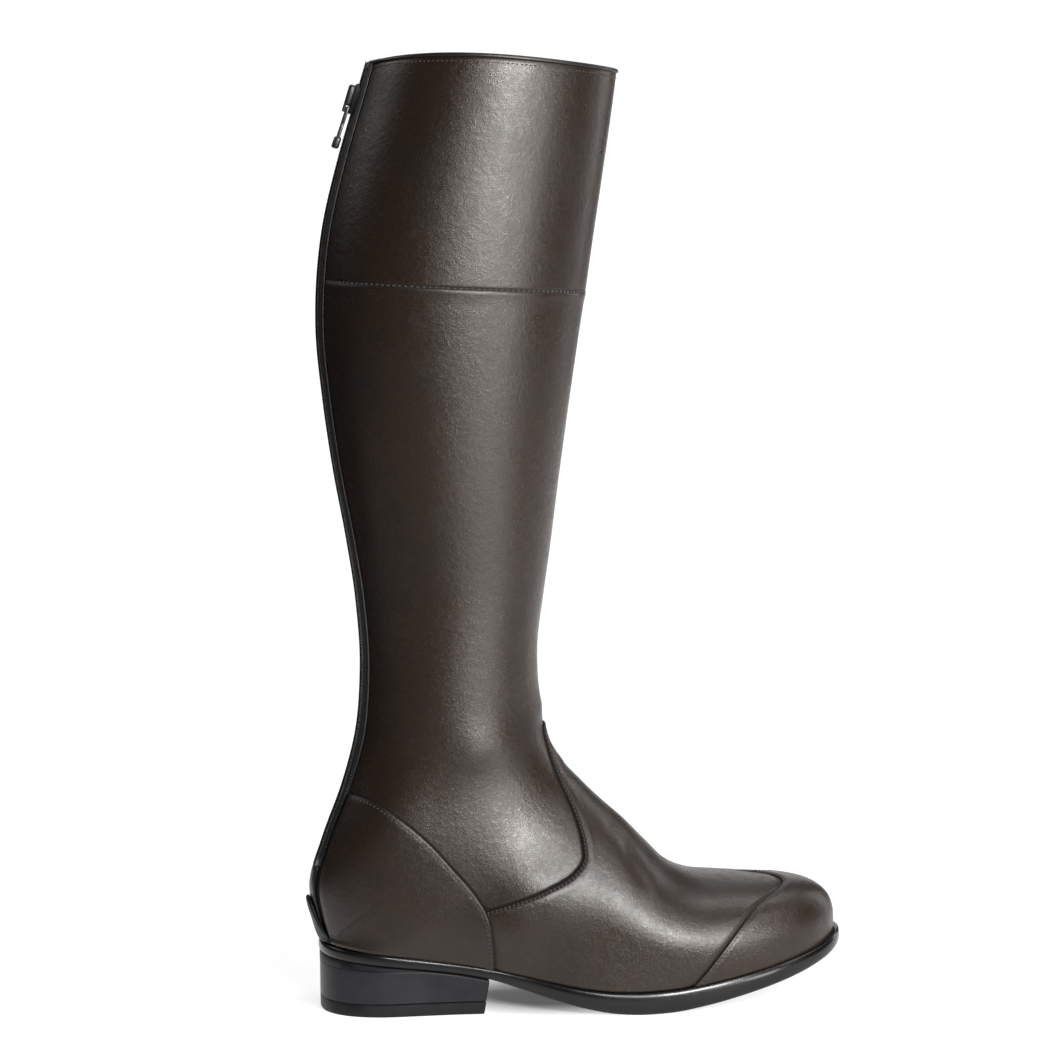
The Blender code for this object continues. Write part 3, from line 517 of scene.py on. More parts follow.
    def contours(self, name: str, level: float) -> list[Line]:
        """Follows one level of a field over the sheet.

        Args:
            name: The field.
            level: The level.

        Returns:
            For each line its points' two neighbours in the sheet, and the shares between them.
        """
        _, pairs, shares = self.crossings(self.fields[name] - level)
        share_of: dict[tuple[int, int], float] = {}
        links: dict[tuple[int, int], list[tuple[int, int]]] = {}
        for pair, share in zip(pairs.tolist(), shares.tolist()):
            keys = [tuple(pair[0]), tuple(pair[1])]
            for key, other, s in ((keys[0], keys[1], share[0]), (keys[1], keys[0], share[1])):
                share_of[key] = s
                links.setdefault(key, []).append(other)
        lines = []
        left = set(links)
        starts = [key for key in links if len(links[key]) == 1]
        while left:
            here = next((key for key in starts if key in left), None) or min(left)
            chain = [here]
            left.discard(here)
            while True:
                onward = [key for key in links[here] if key in left]
                if not onward:
                    break
                here = onward[0]
                left.discard(here)
                chain.append(here)
            if len(chain) > 3:
                if chain[0] in links[chain[-1]] and len(links[chain[0]]) > 1:
                    chain.append(chain[0])
                lines.append((np.array(chain), np.array([share_of[key] for key in chain])))
        return lines

    def shell(self, top: np.ndarray, low: np.ndarray) -> tuple[np.ndarray, np.ndarray]:
        """Closes the sheet into a solid between two heights.

        Args:
            top: Height of the upper side at each point.
            low: Height of the under side.

        Returns:
            Points and triangles of the solid.
        """
        out = self.normals()
        count = len(self.points)
        points = np.concatenate([self.points + out * top[:, None], self.points + out * low[:, None]])
        sides = np.concatenate([self.tris[:, [0, 1]], self.tris[:, [1, 2]], self.tris[:, [2, 0]]])
        seen = set(map(tuple, sides.tolist()))
        rim = np.array([(i, j) for i, j in sides.tolist() if (j, i) not in seen])
        i, j = rim[:, 0], rim[:, 1]
        walls = np.concatenate([np.stack([j, i, i + count], 1), np.stack([j, i + count, j + count], 1)])
        return points, np.concatenate([self.tris, self.tris[:, ::-1] + count, walls])


@dataclass
class Last:
    """The foot and leg form that every leather piece follows."""

    tip_x: float = 269.5
    toe_shift: float = 4.0
    toe_roll_x: float = 230.0
    toe_roll_power: float = 3.6
    collar_rise: float = 5.0
    collar_rise_reach: float = 110.0
    heel_back_x: float = 8.6
    heel_round: float = 35.0
    heel_power: float = 2.3
    heel_edge_raise: float = 1.0
    heel_edge_reach: float = 20.0
    turn_reach: float = 27.0
    soft_step: float = 1.5
    swing_x: float = 120.0
    toe_start_outer: float = 158.0
    toe_start_inner: float = 188.0
    toe_power_outer: float = 2.25
    toe_power_inner: float = 2.3
    slit_half: float = 4.5
    slit_opens_over: float = 8.0
    steps: int = 120

    def __post_init__(self) -> None:
        """Reads the two tables into lines."""
        lengths = [row.x for row in SOLE_ROWS]
        self.sole_tracks = {name: Track(lengths, [getattr(row, name) for row in SOLE_ROWS], held=True)
                            for name in SoleRow._fields[1:]}
        ends = [self.lower_edge(row.end_x) if row.end_z is None else row.end_z for row in UPPER_ROWS]
        places = [0.0]
        for i in range(len(UPPER_ROWS) - 1):
            a, b = UPPER_ROWS[i], UPPER_ROWS[i + 1]
            top = math.hypot(b.top_x - a.top_x, b.top_z - a.top_z)
            end = math.hypot(b.end_x - a.end_x, ends[i + 1] - ends[i])
            places.append(places[-1] + 0.5 * (top + end))
        self.stations = np.array(places)
        self.station = {row.name: self.stations[i] for i, row in enumerate(UPPER_ROWS)}
        self.tracks = {}
        for name in UpperRow._fields[1:]:
            column = ends if name == "end_z" else [getattr(row, name) for row in UPPER_ROWS]
            self.tracks[name] = Track(self.stations, column)
        self.zip_open = self.station["zip_foot"] + self.slit_opens_over
        self.knots, self.grid = self._softened()

    def sole(self, name: str, x: np.ndarray | float) -> np.ndarray:
        """Reads a column of the sole's table at a length along the foot."""
        return self.sole_tracks[name].at(x)

    def lower_edge(self, x: float) -> float:
        """Gives the height of the upper's foot, a little higher round the back of the heel."""
        back = min(max(1 - (x - self.heel_back_x) / self.heel_edge_reach, 0), 1)
        return float(self.sole("feather_z", x) + self.heel_edge_raise * back)

    def toe_taper(self, x: np.ndarray | float, side: Side) -> np.ndarray:
        """Narrows one side of the foot toward the toe."""
        if side is Side.OUTER:
            return taper(x, self.toe_start_outer, self.tip_x, self.toe_power_outer)
        return taper(x, self.toe_start_inner, self.tip_x, self.toe_power_inner)

    def axis_y(self, x: np.ndarray | float) -> np.ndarray:
        """Gives the foot's middle line, which swings to the inner side at the toe."""
        t = np.clip((x - self.swing_x) / (self.tip_x - self.swing_x), 0, 1)
        return self.toe_shift * t * t

    def feather_half(self, x: np.ndarray | float, side: Side) -> np.ndarray:
        """Gives the half width of the foot at the welt.

        Args:
            x: Lengths along the foot.
            side: The side.

        Returns:
            The half widths there.
        """
        width = self.sole("lateral" if side is Side.OUTER else "medial", x)
        heel = taper(-x, -(self.heel_back_x + self.heel_round), -self.heel_back_x, self.heel_power)
        return width * heel * self.toe_taper(x, side)

    def _softened(self) -> tuple[np.ndarray, np.ndarray]:
        """Samples the sections and softens the turn from the welt to the back of the heel.

        Returns:
            The stations, and the points of their sections.
        """
        knots = self.toe_stations("collar", self.soft_step)
        grid = np.array([self._drawn(station) for station in knots])
        inside = np.flatnonzero(np.abs(knots - self.station["heel_back"]) < self.turn_reach)
        rows = np.arange(inside[0] - 2, inside[-1] + 3)
        last = grid.shape[1] - 1
        picks = np.concatenate([[0, 4], np.arange(10, last - 5, 6), [last - 4, last]])
        block = grid[rows][:, picks]
        high, wide = block.shape[:2]
        number = np.arange(high * wide).reshape(high, wide)
        gaps = np.linalg.norm(np.diff(block, axis=1), axis=2).mean(axis=0)
        bends = np.zeros(((high - 2) * (wide - 2), high * wide))
        for j in range(1, wide - 1):
            before, after = gaps[j - 1], gaps[j]
            weight = math.sqrt(before + after)
            low, up = 2 * weight / (before * (before + after)), 2 * weight / (after * (before + after))
            along = weight / self.soft_step ** 2
            for i in range(1, high - 1):
                line = bends[(i - 1) * (wide - 2) + j - 1]
                line[number[i, j]] = -2 * along - low - up
                line[[number[i - 1, j], number[i + 1, j]]] = along
                line[number[i, j - 1]], line[number[i, j + 1]] = low, up
        free = number[2:-2, 2:-2].ravel()
        held = np.setdiff1d(number.ravel(), free)
        flat = block.reshape(-1, 3).copy()
        part = bends[:, free]
        flat[free] = np.linalg.solve(part.T @ part, -part.T @ (bends[:, held] @ flat[held]))
        moved = flat.reshape(block.shape) - block
        every = np.arange(grid.shape[1])
        for k, row in enumerate(rows):
            grid[row] += np.stack([Track(picks, moved[k, :, axis]).at(every) for axis in range(3)], axis=1)
        return knots, grid

    def section(self, station: float) -> np.ndarray:
        """Reads one section of the softened form.

        Args:
            station: Distance along the upper from the toe.

        Returns:
            The points, from the outer end over the top to the inner end.
        """
        i = int(np.clip(np.searchsorted(self.knots, station, side="right") - 1, 0, len(self.knots) - 2))
        t = min(max((station - self.knots[i]) / (self.knots[i + 1] - self.knots[i]), 0.0), 1.0)
        return self.grid[i] * (1 - t) + self.grid[i + 1] * t

    def _drawn(self, station: float) -> np.ndarray:
        """Draws one section from the table.

        Args:
            station: Distance along the upper from the toe.

        Returns:
            The points, from the outer end over the top to the inner end.
        """
        row = {name: float(track.at(station)) for name, track in self.tracks.items()}
        on_sole = station <= self.station["heel_back"] + 1e-6
        if on_sole:
            row["end_z"] = self.lower_edge(row["end_x"])
        if row["top_x"] > self.toe_roll_x:
            roll = taper(row["top_x"], self.toe_roll_x, self.tip_x, self.toe_roll_power)
            row["top_z"] = row["end_z"] + (row["top_z"] - row["end_z"]) * roll
        up = 1 - (1 - np.linspace(0, 1, self.steps + 1) ** 1.7) ** 1.8
        near = min(max(1 + (station - self.stations[-1]) / self.collar_rise_reach, 0), 1)
        rise = self.collar_rise * near ** 2
        x = row["end_x"] + (row["top_x"] - row["end_x"]) * up
        z = row["end_z"] + (row["top_z"] - row["end_z"]) * up + rise * np.sin(math.pi * up ** 0.62)
        middle = self.axis_y(row["end_x"]) + row["lean"] * up ** 2
        halves = []
        for side, name in ((Side.OUTER, "lateral"), (Side.INNER, "medial")):
            widest = max(row[name] * float(self.toe_taper(row["top_x"], side)), 0.001)
            on_welt = float(self.feather_half(row["end_x"], side)) if on_sole else 0.0
            share = min(on_welt / widest, 0.9995)
            reach = row["widest"] / math.sqrt(1 - share * share)
            above = np.clip((up - row["widest"]) / (1 - row["widest"]), 0, 1)
            below = np.clip((row["widest"] - up) / reach, 0, 1)
            half = widest * (1 - above ** row["crown"]) ** (1 / row["crown"]) * np.sqrt(1 - below ** 2)
            halves.append(np.stack([x, middle + side.value * half, z], axis=1))
        return np.concatenate([halves[0], halves[1][::-1][1:]])

    def relief(self, points: np.ndarray) -> np.ndarray:
        """Gives the height of the soft folds.

        Args:
            points: Points of the upper.

        Returns:
            The heights there.
        """
        total = np.zeros(len(points))
        flat = points[:, [0, 2]]
        for fold in FOLDS:
            line = np.array(fold.line, float)
            nearest = np.min([away_from(flat, a, b) for a, b in zip(line, line[1:])], axis=0)
            share = np.exp(-(nearest / fold.width) ** 2)
            if fold.side is not None:
                share = share * eased(points[:, 1] * fold.side.value, 0, 10)
            total += fold.height * share
        return total

    def sheet(self, stations: np.ndarray, columns: int, slit: bool) -> Skin:
        """Makes a sheet of the upper's outer surface.

        Args:
            stations: The stations of its rows.
            columns: Cells round each section.
            slit: True to leave the zip's opening at the back.

        Returns:
            The sheet, with its station and its share round the section as fields.
        """
        grid = []
        for station in stations:
            line = self.section(station)
            opening = min(max((station - self.station["zip_foot"]) / self.slit_opens_over, 0), 1)
            trim = self.slit_half * opening if slit else 0.0
            runs = run_lengths(line)
            grid.append(read_line(line, runs, np.linspace(trim, runs[-1] - trim, columns + 1)))
        around = np.tile(np.linspace(0, 1, columns + 1), (len(stations), 1))
        rows = np.tile(np.asarray(stations)[:, None], (1, columns + 1))
        skin = Skin.from_grid(np.array(grid), {"station": rows, "around": around})
        skin.points = skin.points + skin.normals() * self.relief(skin.points)[:, None]
        return skin

    def back_grid(self, stations: np.ndarray, offsets: Sequence[float]) -> tuple[np.ndarray, np.ndarray]:
        """Gives places up the back of the boot and the outward direction at each.

        Args:
            stations: The stations of the rows.
            offsets: Distances along the leather from the middle of the back, inner side above 0.

        Returns:
            Points and directions, each as rows by offsets by 3.
        """
        points = []
        for station in stations:
            line = self.section(station)
            runs = run_lengths(line)
            places = [-offset if offset <= 0 else runs[-1] - offset for offset in offsets]
            points.append(read_line(line, runs, places))
        grid = np.array(points)
        out = np.cross(np.gradient(grid, axis=0), np.gradient(grid, axis=1))
        out /= np.maximum(np.linalg.norm(out, axis=2, keepdims=True), 1e-9)
        flip = np.where(out[:, :, :1] > 0, -1.0, 1.0)
        return grid, out * flip

    def stations_between(self, first: str | float, last: str | float, step: float) -> np.ndarray:
        """Spaces stations evenly.

        Args:
            first: The first station, or its row's name.
            last: The last one.
            step: The widest spacing.

        Returns:
            The stations.
        """
        a = self.station[first] if isinstance(first, str) else first
        b = self.station[last] if isinstance(last, str) else last
        return np.linspace(a, b, max(int(math.ceil((b - a) / step)), 1) + 1)

    def toe_stations(self, last: str, step: float) -> np.ndarray:
        """Spaces stations from the toe's tip, crowded there, to a named row."""
        nose = self.station["cap_edge"] * np.linspace(0, 1, 29) ** 2.4
        return np.concatenate([nose, self.stations_between("cap_edge", last, step)[1:]])

    def station_at_back(self, z: float) -> float:
        """Finds the station whose section meets the middle of the back.

        Args:
            z: The height where it does.

        Returns:
            The station.
        """
        low, high = self.station["zip_foot"], self.stations[-1]
        for _ in range(50):
            middle = (low + high) / 2
            if self.tracks["end_z"].at(middle) < z:
                low = middle
            else:
                high = middle
        return low


@dataclass(frozen=True)
class Outline:
    """A closed flat outline, seen from the side or from behind."""

    corners: np.ndarray
    plane: Plane

    def signed(self, points: np.ndarray) -> np.ndarray:
        """Gives distances from the outline, above 0 inside.

        Args:
            points: Points of the boot.

        Returns:
            The distances in the outline's own view.
        """
        flat = points[:, list(self.plane.value)]
        nearest = np.full(len(flat), FAR)
        inside = np.zeros(len(flat), bool)
        for start, stop in zip(self.corners, np.roll(self.corners, -1, axis=0)):
            nearest = np.minimum(nearest, away_from(flat, start, stop))
            run = stop - start
            if run[1] != 0:
                spans = (start[1] > flat[:, 1]) != (stop[1] > flat[:, 1])
                inside ^= spans & (flat[:, 0] < start[0] + (flat[:, 1] - start[1]) * run[0] / run[1])
        return np.where(inside, nearest, -nearest)


class Graph:
    """A hand for adding nodes to a tree and joining them."""

    def __init__(self, tree: bpy.types.NodeTree) -> None:
        """Takes the tree to work on."""
        self.tree = tree

    def node(self, kind: str, settings: dict | None = None, inputs: dict | None = None) -> bpy.types.Node:
        """Adds a node.

        Args:
            kind: Its type.
            settings: Values of its own properties.
            inputs: Values or sockets for its inputs, by name or place.

        Returns:
            The node.
        """
        made = self.tree.nodes.new(kind)
        for name, value in (settings or {}).items():
            setattr(made, name, value)
        self.fill(made, inputs or {})
        return made

    def fill(self, node: bpy.types.Node, inputs: dict) -> None:
        """Joins sockets to a node's inputs and sets the inputs that are plain values.

        Args:
            node: The node.
            inputs: Values or sockets for its inputs, by name or place.
        """
        for key, value in inputs.items():
            if isinstance(value, bpy.types.NodeSocket):
                self.tree.links.new(value, node.inputs[key])
            else:
                node.inputs[key].default_value = value

    def sum(self, operation: str, first: object, second: object = 0.0) -> bpy.types.NodeSocket:
        """Joins two values by one sum."""
        return self.node("ShaderNodeMath", {"operation": operation}, {0: first, 1: second}).outputs[0]

    def mix(self, share: object, first: object, second: object) -> bpy.types.NodeSocket:
        """Mixes two colours by a share."""
        made = self.node("ShaderNodeMix", {"data_type": "RGBA"}, {0: share, 6: first, 7: second})
        return made.outputs[2]

    def ranged(self, value: object, low: float, high: float, to_low: float, to_high: float) -> bpy.types.NodeSocket:
        """Maps a value from one range to another."""
        places = {"Value": value, "From Min": low, "From Max": high, "To Min": to_low, "To Max": to_high}
        return self.node("ShaderNodeMapRange", None, places).outputs[0]

    def plus(self, first: object, second: object, share: float) -> bpy.types.NodeSocket:
        """Adds a share of one value to another."""
        return self.sum("ADD", first, self.sum("MULTIPLY", second, share))

    def noise(self, place: object, scale: object, detail: float, roughness: float = 0.5) -> bpy.types.Node:
        """Adds a noise texture."""
        return self.node("ShaderNodeTexNoise", None, {"Vector": place, "Scale": scale, "Detail": detail,
                                                      "Roughness": roughness})

    def bumped(self, height: object, depth: float) -> bpy.types.NodeSocket:
        """Turns heights into a bumped normal, its depth in millimetres."""
        places = {"Strength": 1.0, "Distance": depth * MM, "Height": height}
        return self.node("ShaderNodeBump", None, places).outputs[0]

    def group(self, made: bpy.types.NodeTree, inputs: dict) -> bpy.types.Node:
        """Places a node group with its own values."""
        return self.node("ShaderNodeGroup", {"node_tree": made}, inputs)


class Effects:
    """Shader groups that several finishes share."""

    def __init__(self) -> None:
        """Builds the groups once."""
        self.grain = self._grain()
        self.mottle = self._mottle()
        self.scuff = self._scuff()

    @staticmethod
    def _start(name: str, inputs: Sequence[tuple[str, str, float | None]],
               outputs: Sequence[str]) -> tuple[Graph, bpy.types.Node, bpy.types.Node]:
        """Starts a group with its sockets.

        Args:
            name: The group's name.
            inputs: Name, socket type and default of each input.
            outputs: Names of the value outputs.

        Returns:
            The graph, its input node and its output node.
        """
        tree = bpy.data.node_groups.new(name, "ShaderNodeTree")
        for label, kind, default in inputs:
            socket = tree.interface.new_socket(label, in_out="INPUT", socket_type=kind)
            if default is not None:
                socket.default_value = default
        for label in outputs:
            tree.interface.new_socket(label, in_out="OUTPUT", socket_type="NodeSocketFloat")
        graph = Graph(tree)
        return graph, graph.node("NodeGroupInput"), graph.node("NodeGroupOutput")

    def _grain(self) -> bpy.types.NodeTree:
        """Fine leather grain: soft pebbles parted by thin wandering lines, with pores.

        Returns:
            The group.
        """
        wanted = [("Vector", "NodeSocketVector", None), ("Cell", "NodeSocketFloat", 900.0),
                  ("Wander", "NodeSocketFloat", 0.0004)]
        g, source, sink = self._start("leather grain", wanted, ["Height", "Lines"])
        drift = g.noise(source.outputs["Vector"], 420.0, 2.0)
        centred = g.node("ShaderNodeVectorMath", {"operation": "SUBTRACT"}, {0: drift.outputs["Color"], 1: (0.5,) * 3})
        scaled = g.node("ShaderNodeVectorMath", {"operation": "SCALE"},
                        {0: centred.outputs[0], "Scale": source.outputs["Wander"]})
        moved = g.node("ShaderNodeVectorMath", {"operation": "ADD"},
                       {0: source.outputs["Vector"], 1: scaled.outputs[0]}).outputs[0]
        cells = g.node("ShaderNodeTexVoronoi", {"feature": "DISTANCE_TO_EDGE"},
                       {"Vector": moved, "Scale": source.outputs["Cell"]})
        lines = g.ranged(cells.outputs["Distance"], 0.0, 0.22, 1.0, 0.0)
        pores = g.noise(moved, 2600.0, 2.0)
        pebble = g.sum("SUBTRACT", g.sum("MULTIPLY", pores.outputs["Fac"], 0.55), g.sum("MULTIPLY", lines, 0.45))
        g.fill(sink, {"Height": pebble, "Lines": lines})
        return g.tree

    def _mottle(self) -> bpy.types.NodeTree:
        """Slow drift of tone over a hide or a moulding.

        Returns:
            The group.
        """
        wanted = [("Vector", "NodeSocketVector", None), ("Size", "NodeSocketFloat", 22.0)]
        g, source, sink = self._start("tone drift", wanted, ["Tone"])
        broad = g.noise(source.outputs["Vector"], source.outputs["Size"], 5.0, 0.62)
        g.fill(sink, {"Tone": g.ranged(broad.outputs["Fac"], 0.3, 0.7, 0.0, 1.0)})
        return g.tree

    def _scuff(self) -> bpy.types.NodeTree:
        """Sparse fine scratches and rubbed spots.

        Returns:
            The group.
        """
        wanted = [("Vector", "NodeSocketVector", None), ("Size", "NodeSocketFloat", 60.0)]
        g, source, sink = self._start("light scuffs", wanted, ["Mask"])
        stretched = g.node("ShaderNodeMapping", None, {"Vector": source.outputs["Vector"],
                                                       "Rotation": (0.3, 0.5, 0.7), "Scale": (1.0, 5.0, 14.0)})
        streaks = g.noise(stretched.outputs[0], source.outputs["Size"], 6.0)
        spots = g.noise(source.outputs["Vector"], 34.0, 3.0)
        both = g.sum("MULTIPLY", g.ranged(streaks.outputs["Fac"], 0.56, 0.72, 0.0, 1.0),
                     g.ranged(spots.outputs["Fac"], 0.48, 0.66, 0.0, 1.0))
        g.fill(sink, {"Mask": both})
        return g.tree


def blank_material(name: str) -> tuple[Graph, bpy.types.Node, bpy.types.NodeSocket]:
    """Starts a material.

    Args:
        name: Its name.

    Returns:
        Its graph, its Principled shader and the object's own coordinates.
    """
    made = bpy.data.materials.new(name)
    made.use_nodes = True
    graph = Graph(made.node_tree)
    shader = made.node_tree.nodes["Principled BSDF"]
    place = graph.node("ShaderNodeTexCoord").outputs["Object"]
    return graph, shader, place


def srgb(red: float, green: float, blue: float) -> tuple[float, float, float, float]:
    """Turns a colour as it looks into light values.

    Args:
        red: Red, 0 to 255.
        green: Green.
        blue: Blue.

    Returns:
        The light values, with full cover.
    """
    shares = [value / 255 for value in (red, green, blue)]
    parts = [share / 12.92 if share <= 0.04045 else ((share + 0.055) / 1.055) ** 2.4 for share in shares]
    return parts[0], parts[1], parts[2], 1.0


def grey(value: float) -> tuple[float, float, float, float]:
    """Gives a plain grey in light values, with full cover."""
    return value, value, value, 1.0


@dataclass(frozen=True)
class LeatherFinish:
    """Grained leather, satin, darker where it is sewn and turned under and where the sewn attribute holds painted shade
    beside pieces laid over it.
    """

    name: str
    deep: Colour
    pale: Colour
    sewn: Colour
    rough_low: float
    rough_high: float
    coat: float
    cell: float
    depth: float
    shine: float = 0.36

    def make(self, effects: Effects) -> bpy.types.Material:
        """Builds the material.

        Args:
            effects: The shared shader groups.

        Returns:
            The material.
        """
        g, shader, place = blank_material(self.name)
        grain = g.group(effects.grain, {"Vector": place, "Cell": self.cell})
        broad, small, fine, ruddy = (g.group(effects.mottle, {"Vector": place, "Size": size}).outputs["Tone"]
                                     for size in (BROAD, SMALL, FINE, RUDDY))
        scuff = g.group(effects.scuff, {"Vector": place}).outputs["Mask"]
        # sewn attribute: dark sewn edges, plus painted shade beside the edges of pieces laid over the leather
        sewn = g.node("ShaderNodeAttribute", {"attribute_name": "sewn"}).outputs["Fac"]
        tone = g.plus(g.plus(g.sum("MULTIPLY", broad, 0.42), small, 0.3), fine, 0.28)
        tone = g.ranged(tone, 0.2, 0.8, 0.0, 1.0)
        red, green, blue = self.pale
        colour = g.mix(tone, srgb(*self.deep), srgb(*self.pale))
        colour = g.mix(g.sum("MULTIPLY", ruddy, 0.4), colour, srgb(red * 1.15, green * 0.92, blue * 0.7))
        colour = g.mix(g.sum("MULTIPLY", grain.outputs["Lines"], 0.35), colour, srgb(*self.sewn))
        colour = g.mix(g.sum("MULTIPLY", scuff, 0.22), colour, srgb(*[min(v * 1.5, 255) for v in self.pale]))
        rough = g.ranged(tone, 0.15, 0.85, self.rough_high, self.rough_low)
        height = g.plus(g.plus(grain.outputs["Height"], fine, 1.0), small, 1.1)
        g.fill(shader, {"Base Color": g.mix(sewn, colour, srgb(*self.sewn)),
                        "Roughness": g.plus(g.plus(rough, sewn, 0.3), scuff, 0.1),
                        "Coat Weight": g.ranged(sewn, 0.0, 1.0, self.coat, 0.0),
                        "Normal": g.bumped(height, self.depth), "Coat Roughness": 0.28,
                        "Specular IOR Level": self.shine, "Specular Tint": (1.0, 0.955, 0.91, 1.0)})
        return bpy.data.materials[self.name]


@dataclass(frozen=True)
class MouldedFinish:
    """Rubber, polished edge or metal with a faint drift of tone and small wear marks."""

    name: str
    deep: Colour
    pale: Colour
    rough_low: float
    rough_high: float
    coat: float
    shine: float
    grain_scale: float
    depth: float

    def make(self, effects: Effects) -> bpy.types.Material:
        """Builds the material.

        Args:
            effects: The shared shader groups.

        Returns:
            The material.
        """
        g, shader, place = blank_material(self.name)
        tone = g.group(effects.mottle, {"Vector": place, "Size": 45.0}).outputs["Tone"]
        scuff = g.group(effects.scuff, {"Vector": place, "Size": 90.0}).outputs["Mask"]
        rough = g.ranged(tone, 0.0, 1.0, self.rough_low, self.rough_high)
        height = g.plus(g.noise(place, self.grain_scale, 3.0).outputs["Fac"], scuff, -0.5)
        g.fill(shader, {"Base Color": g.mix(tone, srgb(*self.deep), srgb(*self.pale)),
                        "Roughness": g.plus(rough, scuff, 0.18), "Normal": g.bumped(height, self.depth),
                        "Specular IOR Level": self.shine, "Coat Weight": self.coat, "Coat Roughness": 0.12})
        return bpy.data.materials[self.name]


@dataclass(frozen=True)
class WovenFinish:
    """Thread or zip tape: fine twisted or woven yarn."""

    name: str
    deep: Colour
    pale: Colour
    yarn_scale: float

    def make(self, effects: Effects) -> bpy.types.Material:
        """Builds the material.

        Args:
            effects: The shared shader groups.

        Returns:
            The material.
        """
        g, shader, place = blank_material(self.name)
        wave = g.node("ShaderNodeTexWave", {"wave_type": "BANDS", "bands_direction": "DIAGONAL"},
                      {"Vector": place, "Scale": self.yarn_scale, "Distortion": 1.5, "Detail": 2.0})
        tone = g.group(effects.mottle, {"Vector": place, "Size": 300.0}).outputs["Tone"]
        share = g.plus(g.sum("MULTIPLY", wave.outputs["Fac"], 0.6), tone, 0.4)
        g.fill(shader, {"Base Color": g.mix(share, srgb(*self.deep), srgb(*self.pale)),
                        "Normal": g.bumped(wave.outputs["Fac"], 0.06), "Roughness": 0.62, "Sheen Weight": 0.15})
        return bpy.data.materials[self.name]


class Finishes:
    """Every material of the boot, made once."""

    def __init__(self) -> None:
        """Makes the materials."""
        effects = Effects()
        self.leather = LeatherFinish("boot leather", (14, 10, 7), (34, 25, 18), (8, 7, 6), 0.25, 0.42, 0.14,
                                     1050.0, 0.07).make(effects)
        # dark sewn edges of the vamp, and painted shade on the upper beside the overlays' edges
        self.sewn = LeatherFinish("sewn leather edge", (17, 13, 10), (38, 29, 23), (13, 10, 8), 0.42, 0.6, 0.0,
                                  1050.0, 0.09, 0.18).make(effects)
        self.lining = LeatherFinish("calf lining", (52, 43, 36), (66, 55, 46), (36, 29, 24), 0.6, 0.75, 0.0,
                                    1400.0, 0.03).make(effects)
        self.trim = LeatherFinish("black facing", (18, 18, 19), (26, 26, 28), (10, 10, 11), 0.34, 0.46, 0.1,
                                  1300.0, 0.04).make(effects)
        self.edge = MouldedFinish("polished sole edge", (9, 9, 11), (15, 15, 17), 0.2, 0.3, 0.18, 0.25,
                                  900.0, 0.02).make(effects)
        self.heel = MouldedFinish("waxed heel stack", (25, 24, 27), (33, 32, 36), 0.36, 0.46, 0.03, 0.18,
                                  700.0, 0.03).make(effects)
        self.rubber = MouldedFinish("moulded rubber", (15, 15, 16), (22, 22, 24), 0.4, 0.52, 0.0, 0.21,
                                    1200.0, 0.05).make(effects)
        self.metal = MouldedFinish("black lacquered metal", (13, 13, 15), (22, 22, 24), 0.32, 0.44, 0.1, 0.4,
                                   1500.0, 0.01).make(effects)
        self.thread = WovenFinish("waxed thread", (28, 23, 19), (54, 45, 38), 900.0).make(effects)
        self.black_thread = WovenFinish("black thread", (16, 16, 17), (34, 34, 36), 900.0).make(effects)
        self.tape = WovenFinish("zip tape", (14, 14, 15), (26, 26, 28), 1100.0).make(effects)
        self.board = LeatherFinish("insole leather", (140, 112, 84), (160, 130, 100), (96, 74, 54), 0.6, 0.75, 0.0,
                                   1500.0, 0.03).make(effects)


def to_object(name: str, points: np.ndarray, faces: Sequence[Sequence[int]] | np.ndarray,
              finish: bpy.types.Material, values: dict[str, np.ndarray] | None = None) -> bpy.types.Object:
    """Makes a smooth shaded object from points in the boot's tables.

    Args:
        name: The object's name.
        points: Points in millimetres.
        faces: Faces as rows of point numbers.
        finish: Its material.
        values: Attributes at the points.

    Returns:
        The object.
    """
    placed = (np.asarray(points, float) - np.array([CENTRE_X, 0.0, 0.0])) * MM
    mesh = bpy.data.meshes.new(name)
    mesh.from_pydata(placed.tolist(), [], [list(map(int, face)) for face in faces])
    for label, column in (values or {}).items():
        attribute = mesh.attributes.new(label, "FLOAT", "POINT")
        attribute.data.foreach_set("value", np.asarray(column, np.float32))
    mesh.materials.append(finish)
    mesh.shade_smooth()
    mesh.validate()
    made = bpy.data.objects.new(name, mesh)
    bpy.context.scene.collection.objects.link(made)
    LOG.info("%s: %d faces", name, len(mesh.polygons))
    return made


def dress_faces(piece: bpy.types.Object, finish: bpy.types.Material, chosen: np.ndarray) -> None:
    """Gives another finish to the faces whose points are all chosen.

    Args:
        piece: The piece.
        finish: The other finish.
        chosen: Whether each point is chosen.
    """
    piece.data.materials.append(finish)
    number = len(piece.data.materials) - 1
    for face in piece.data.polygons:
        if all(chosen[v] for v in face.vertices):
            face.material_index = number


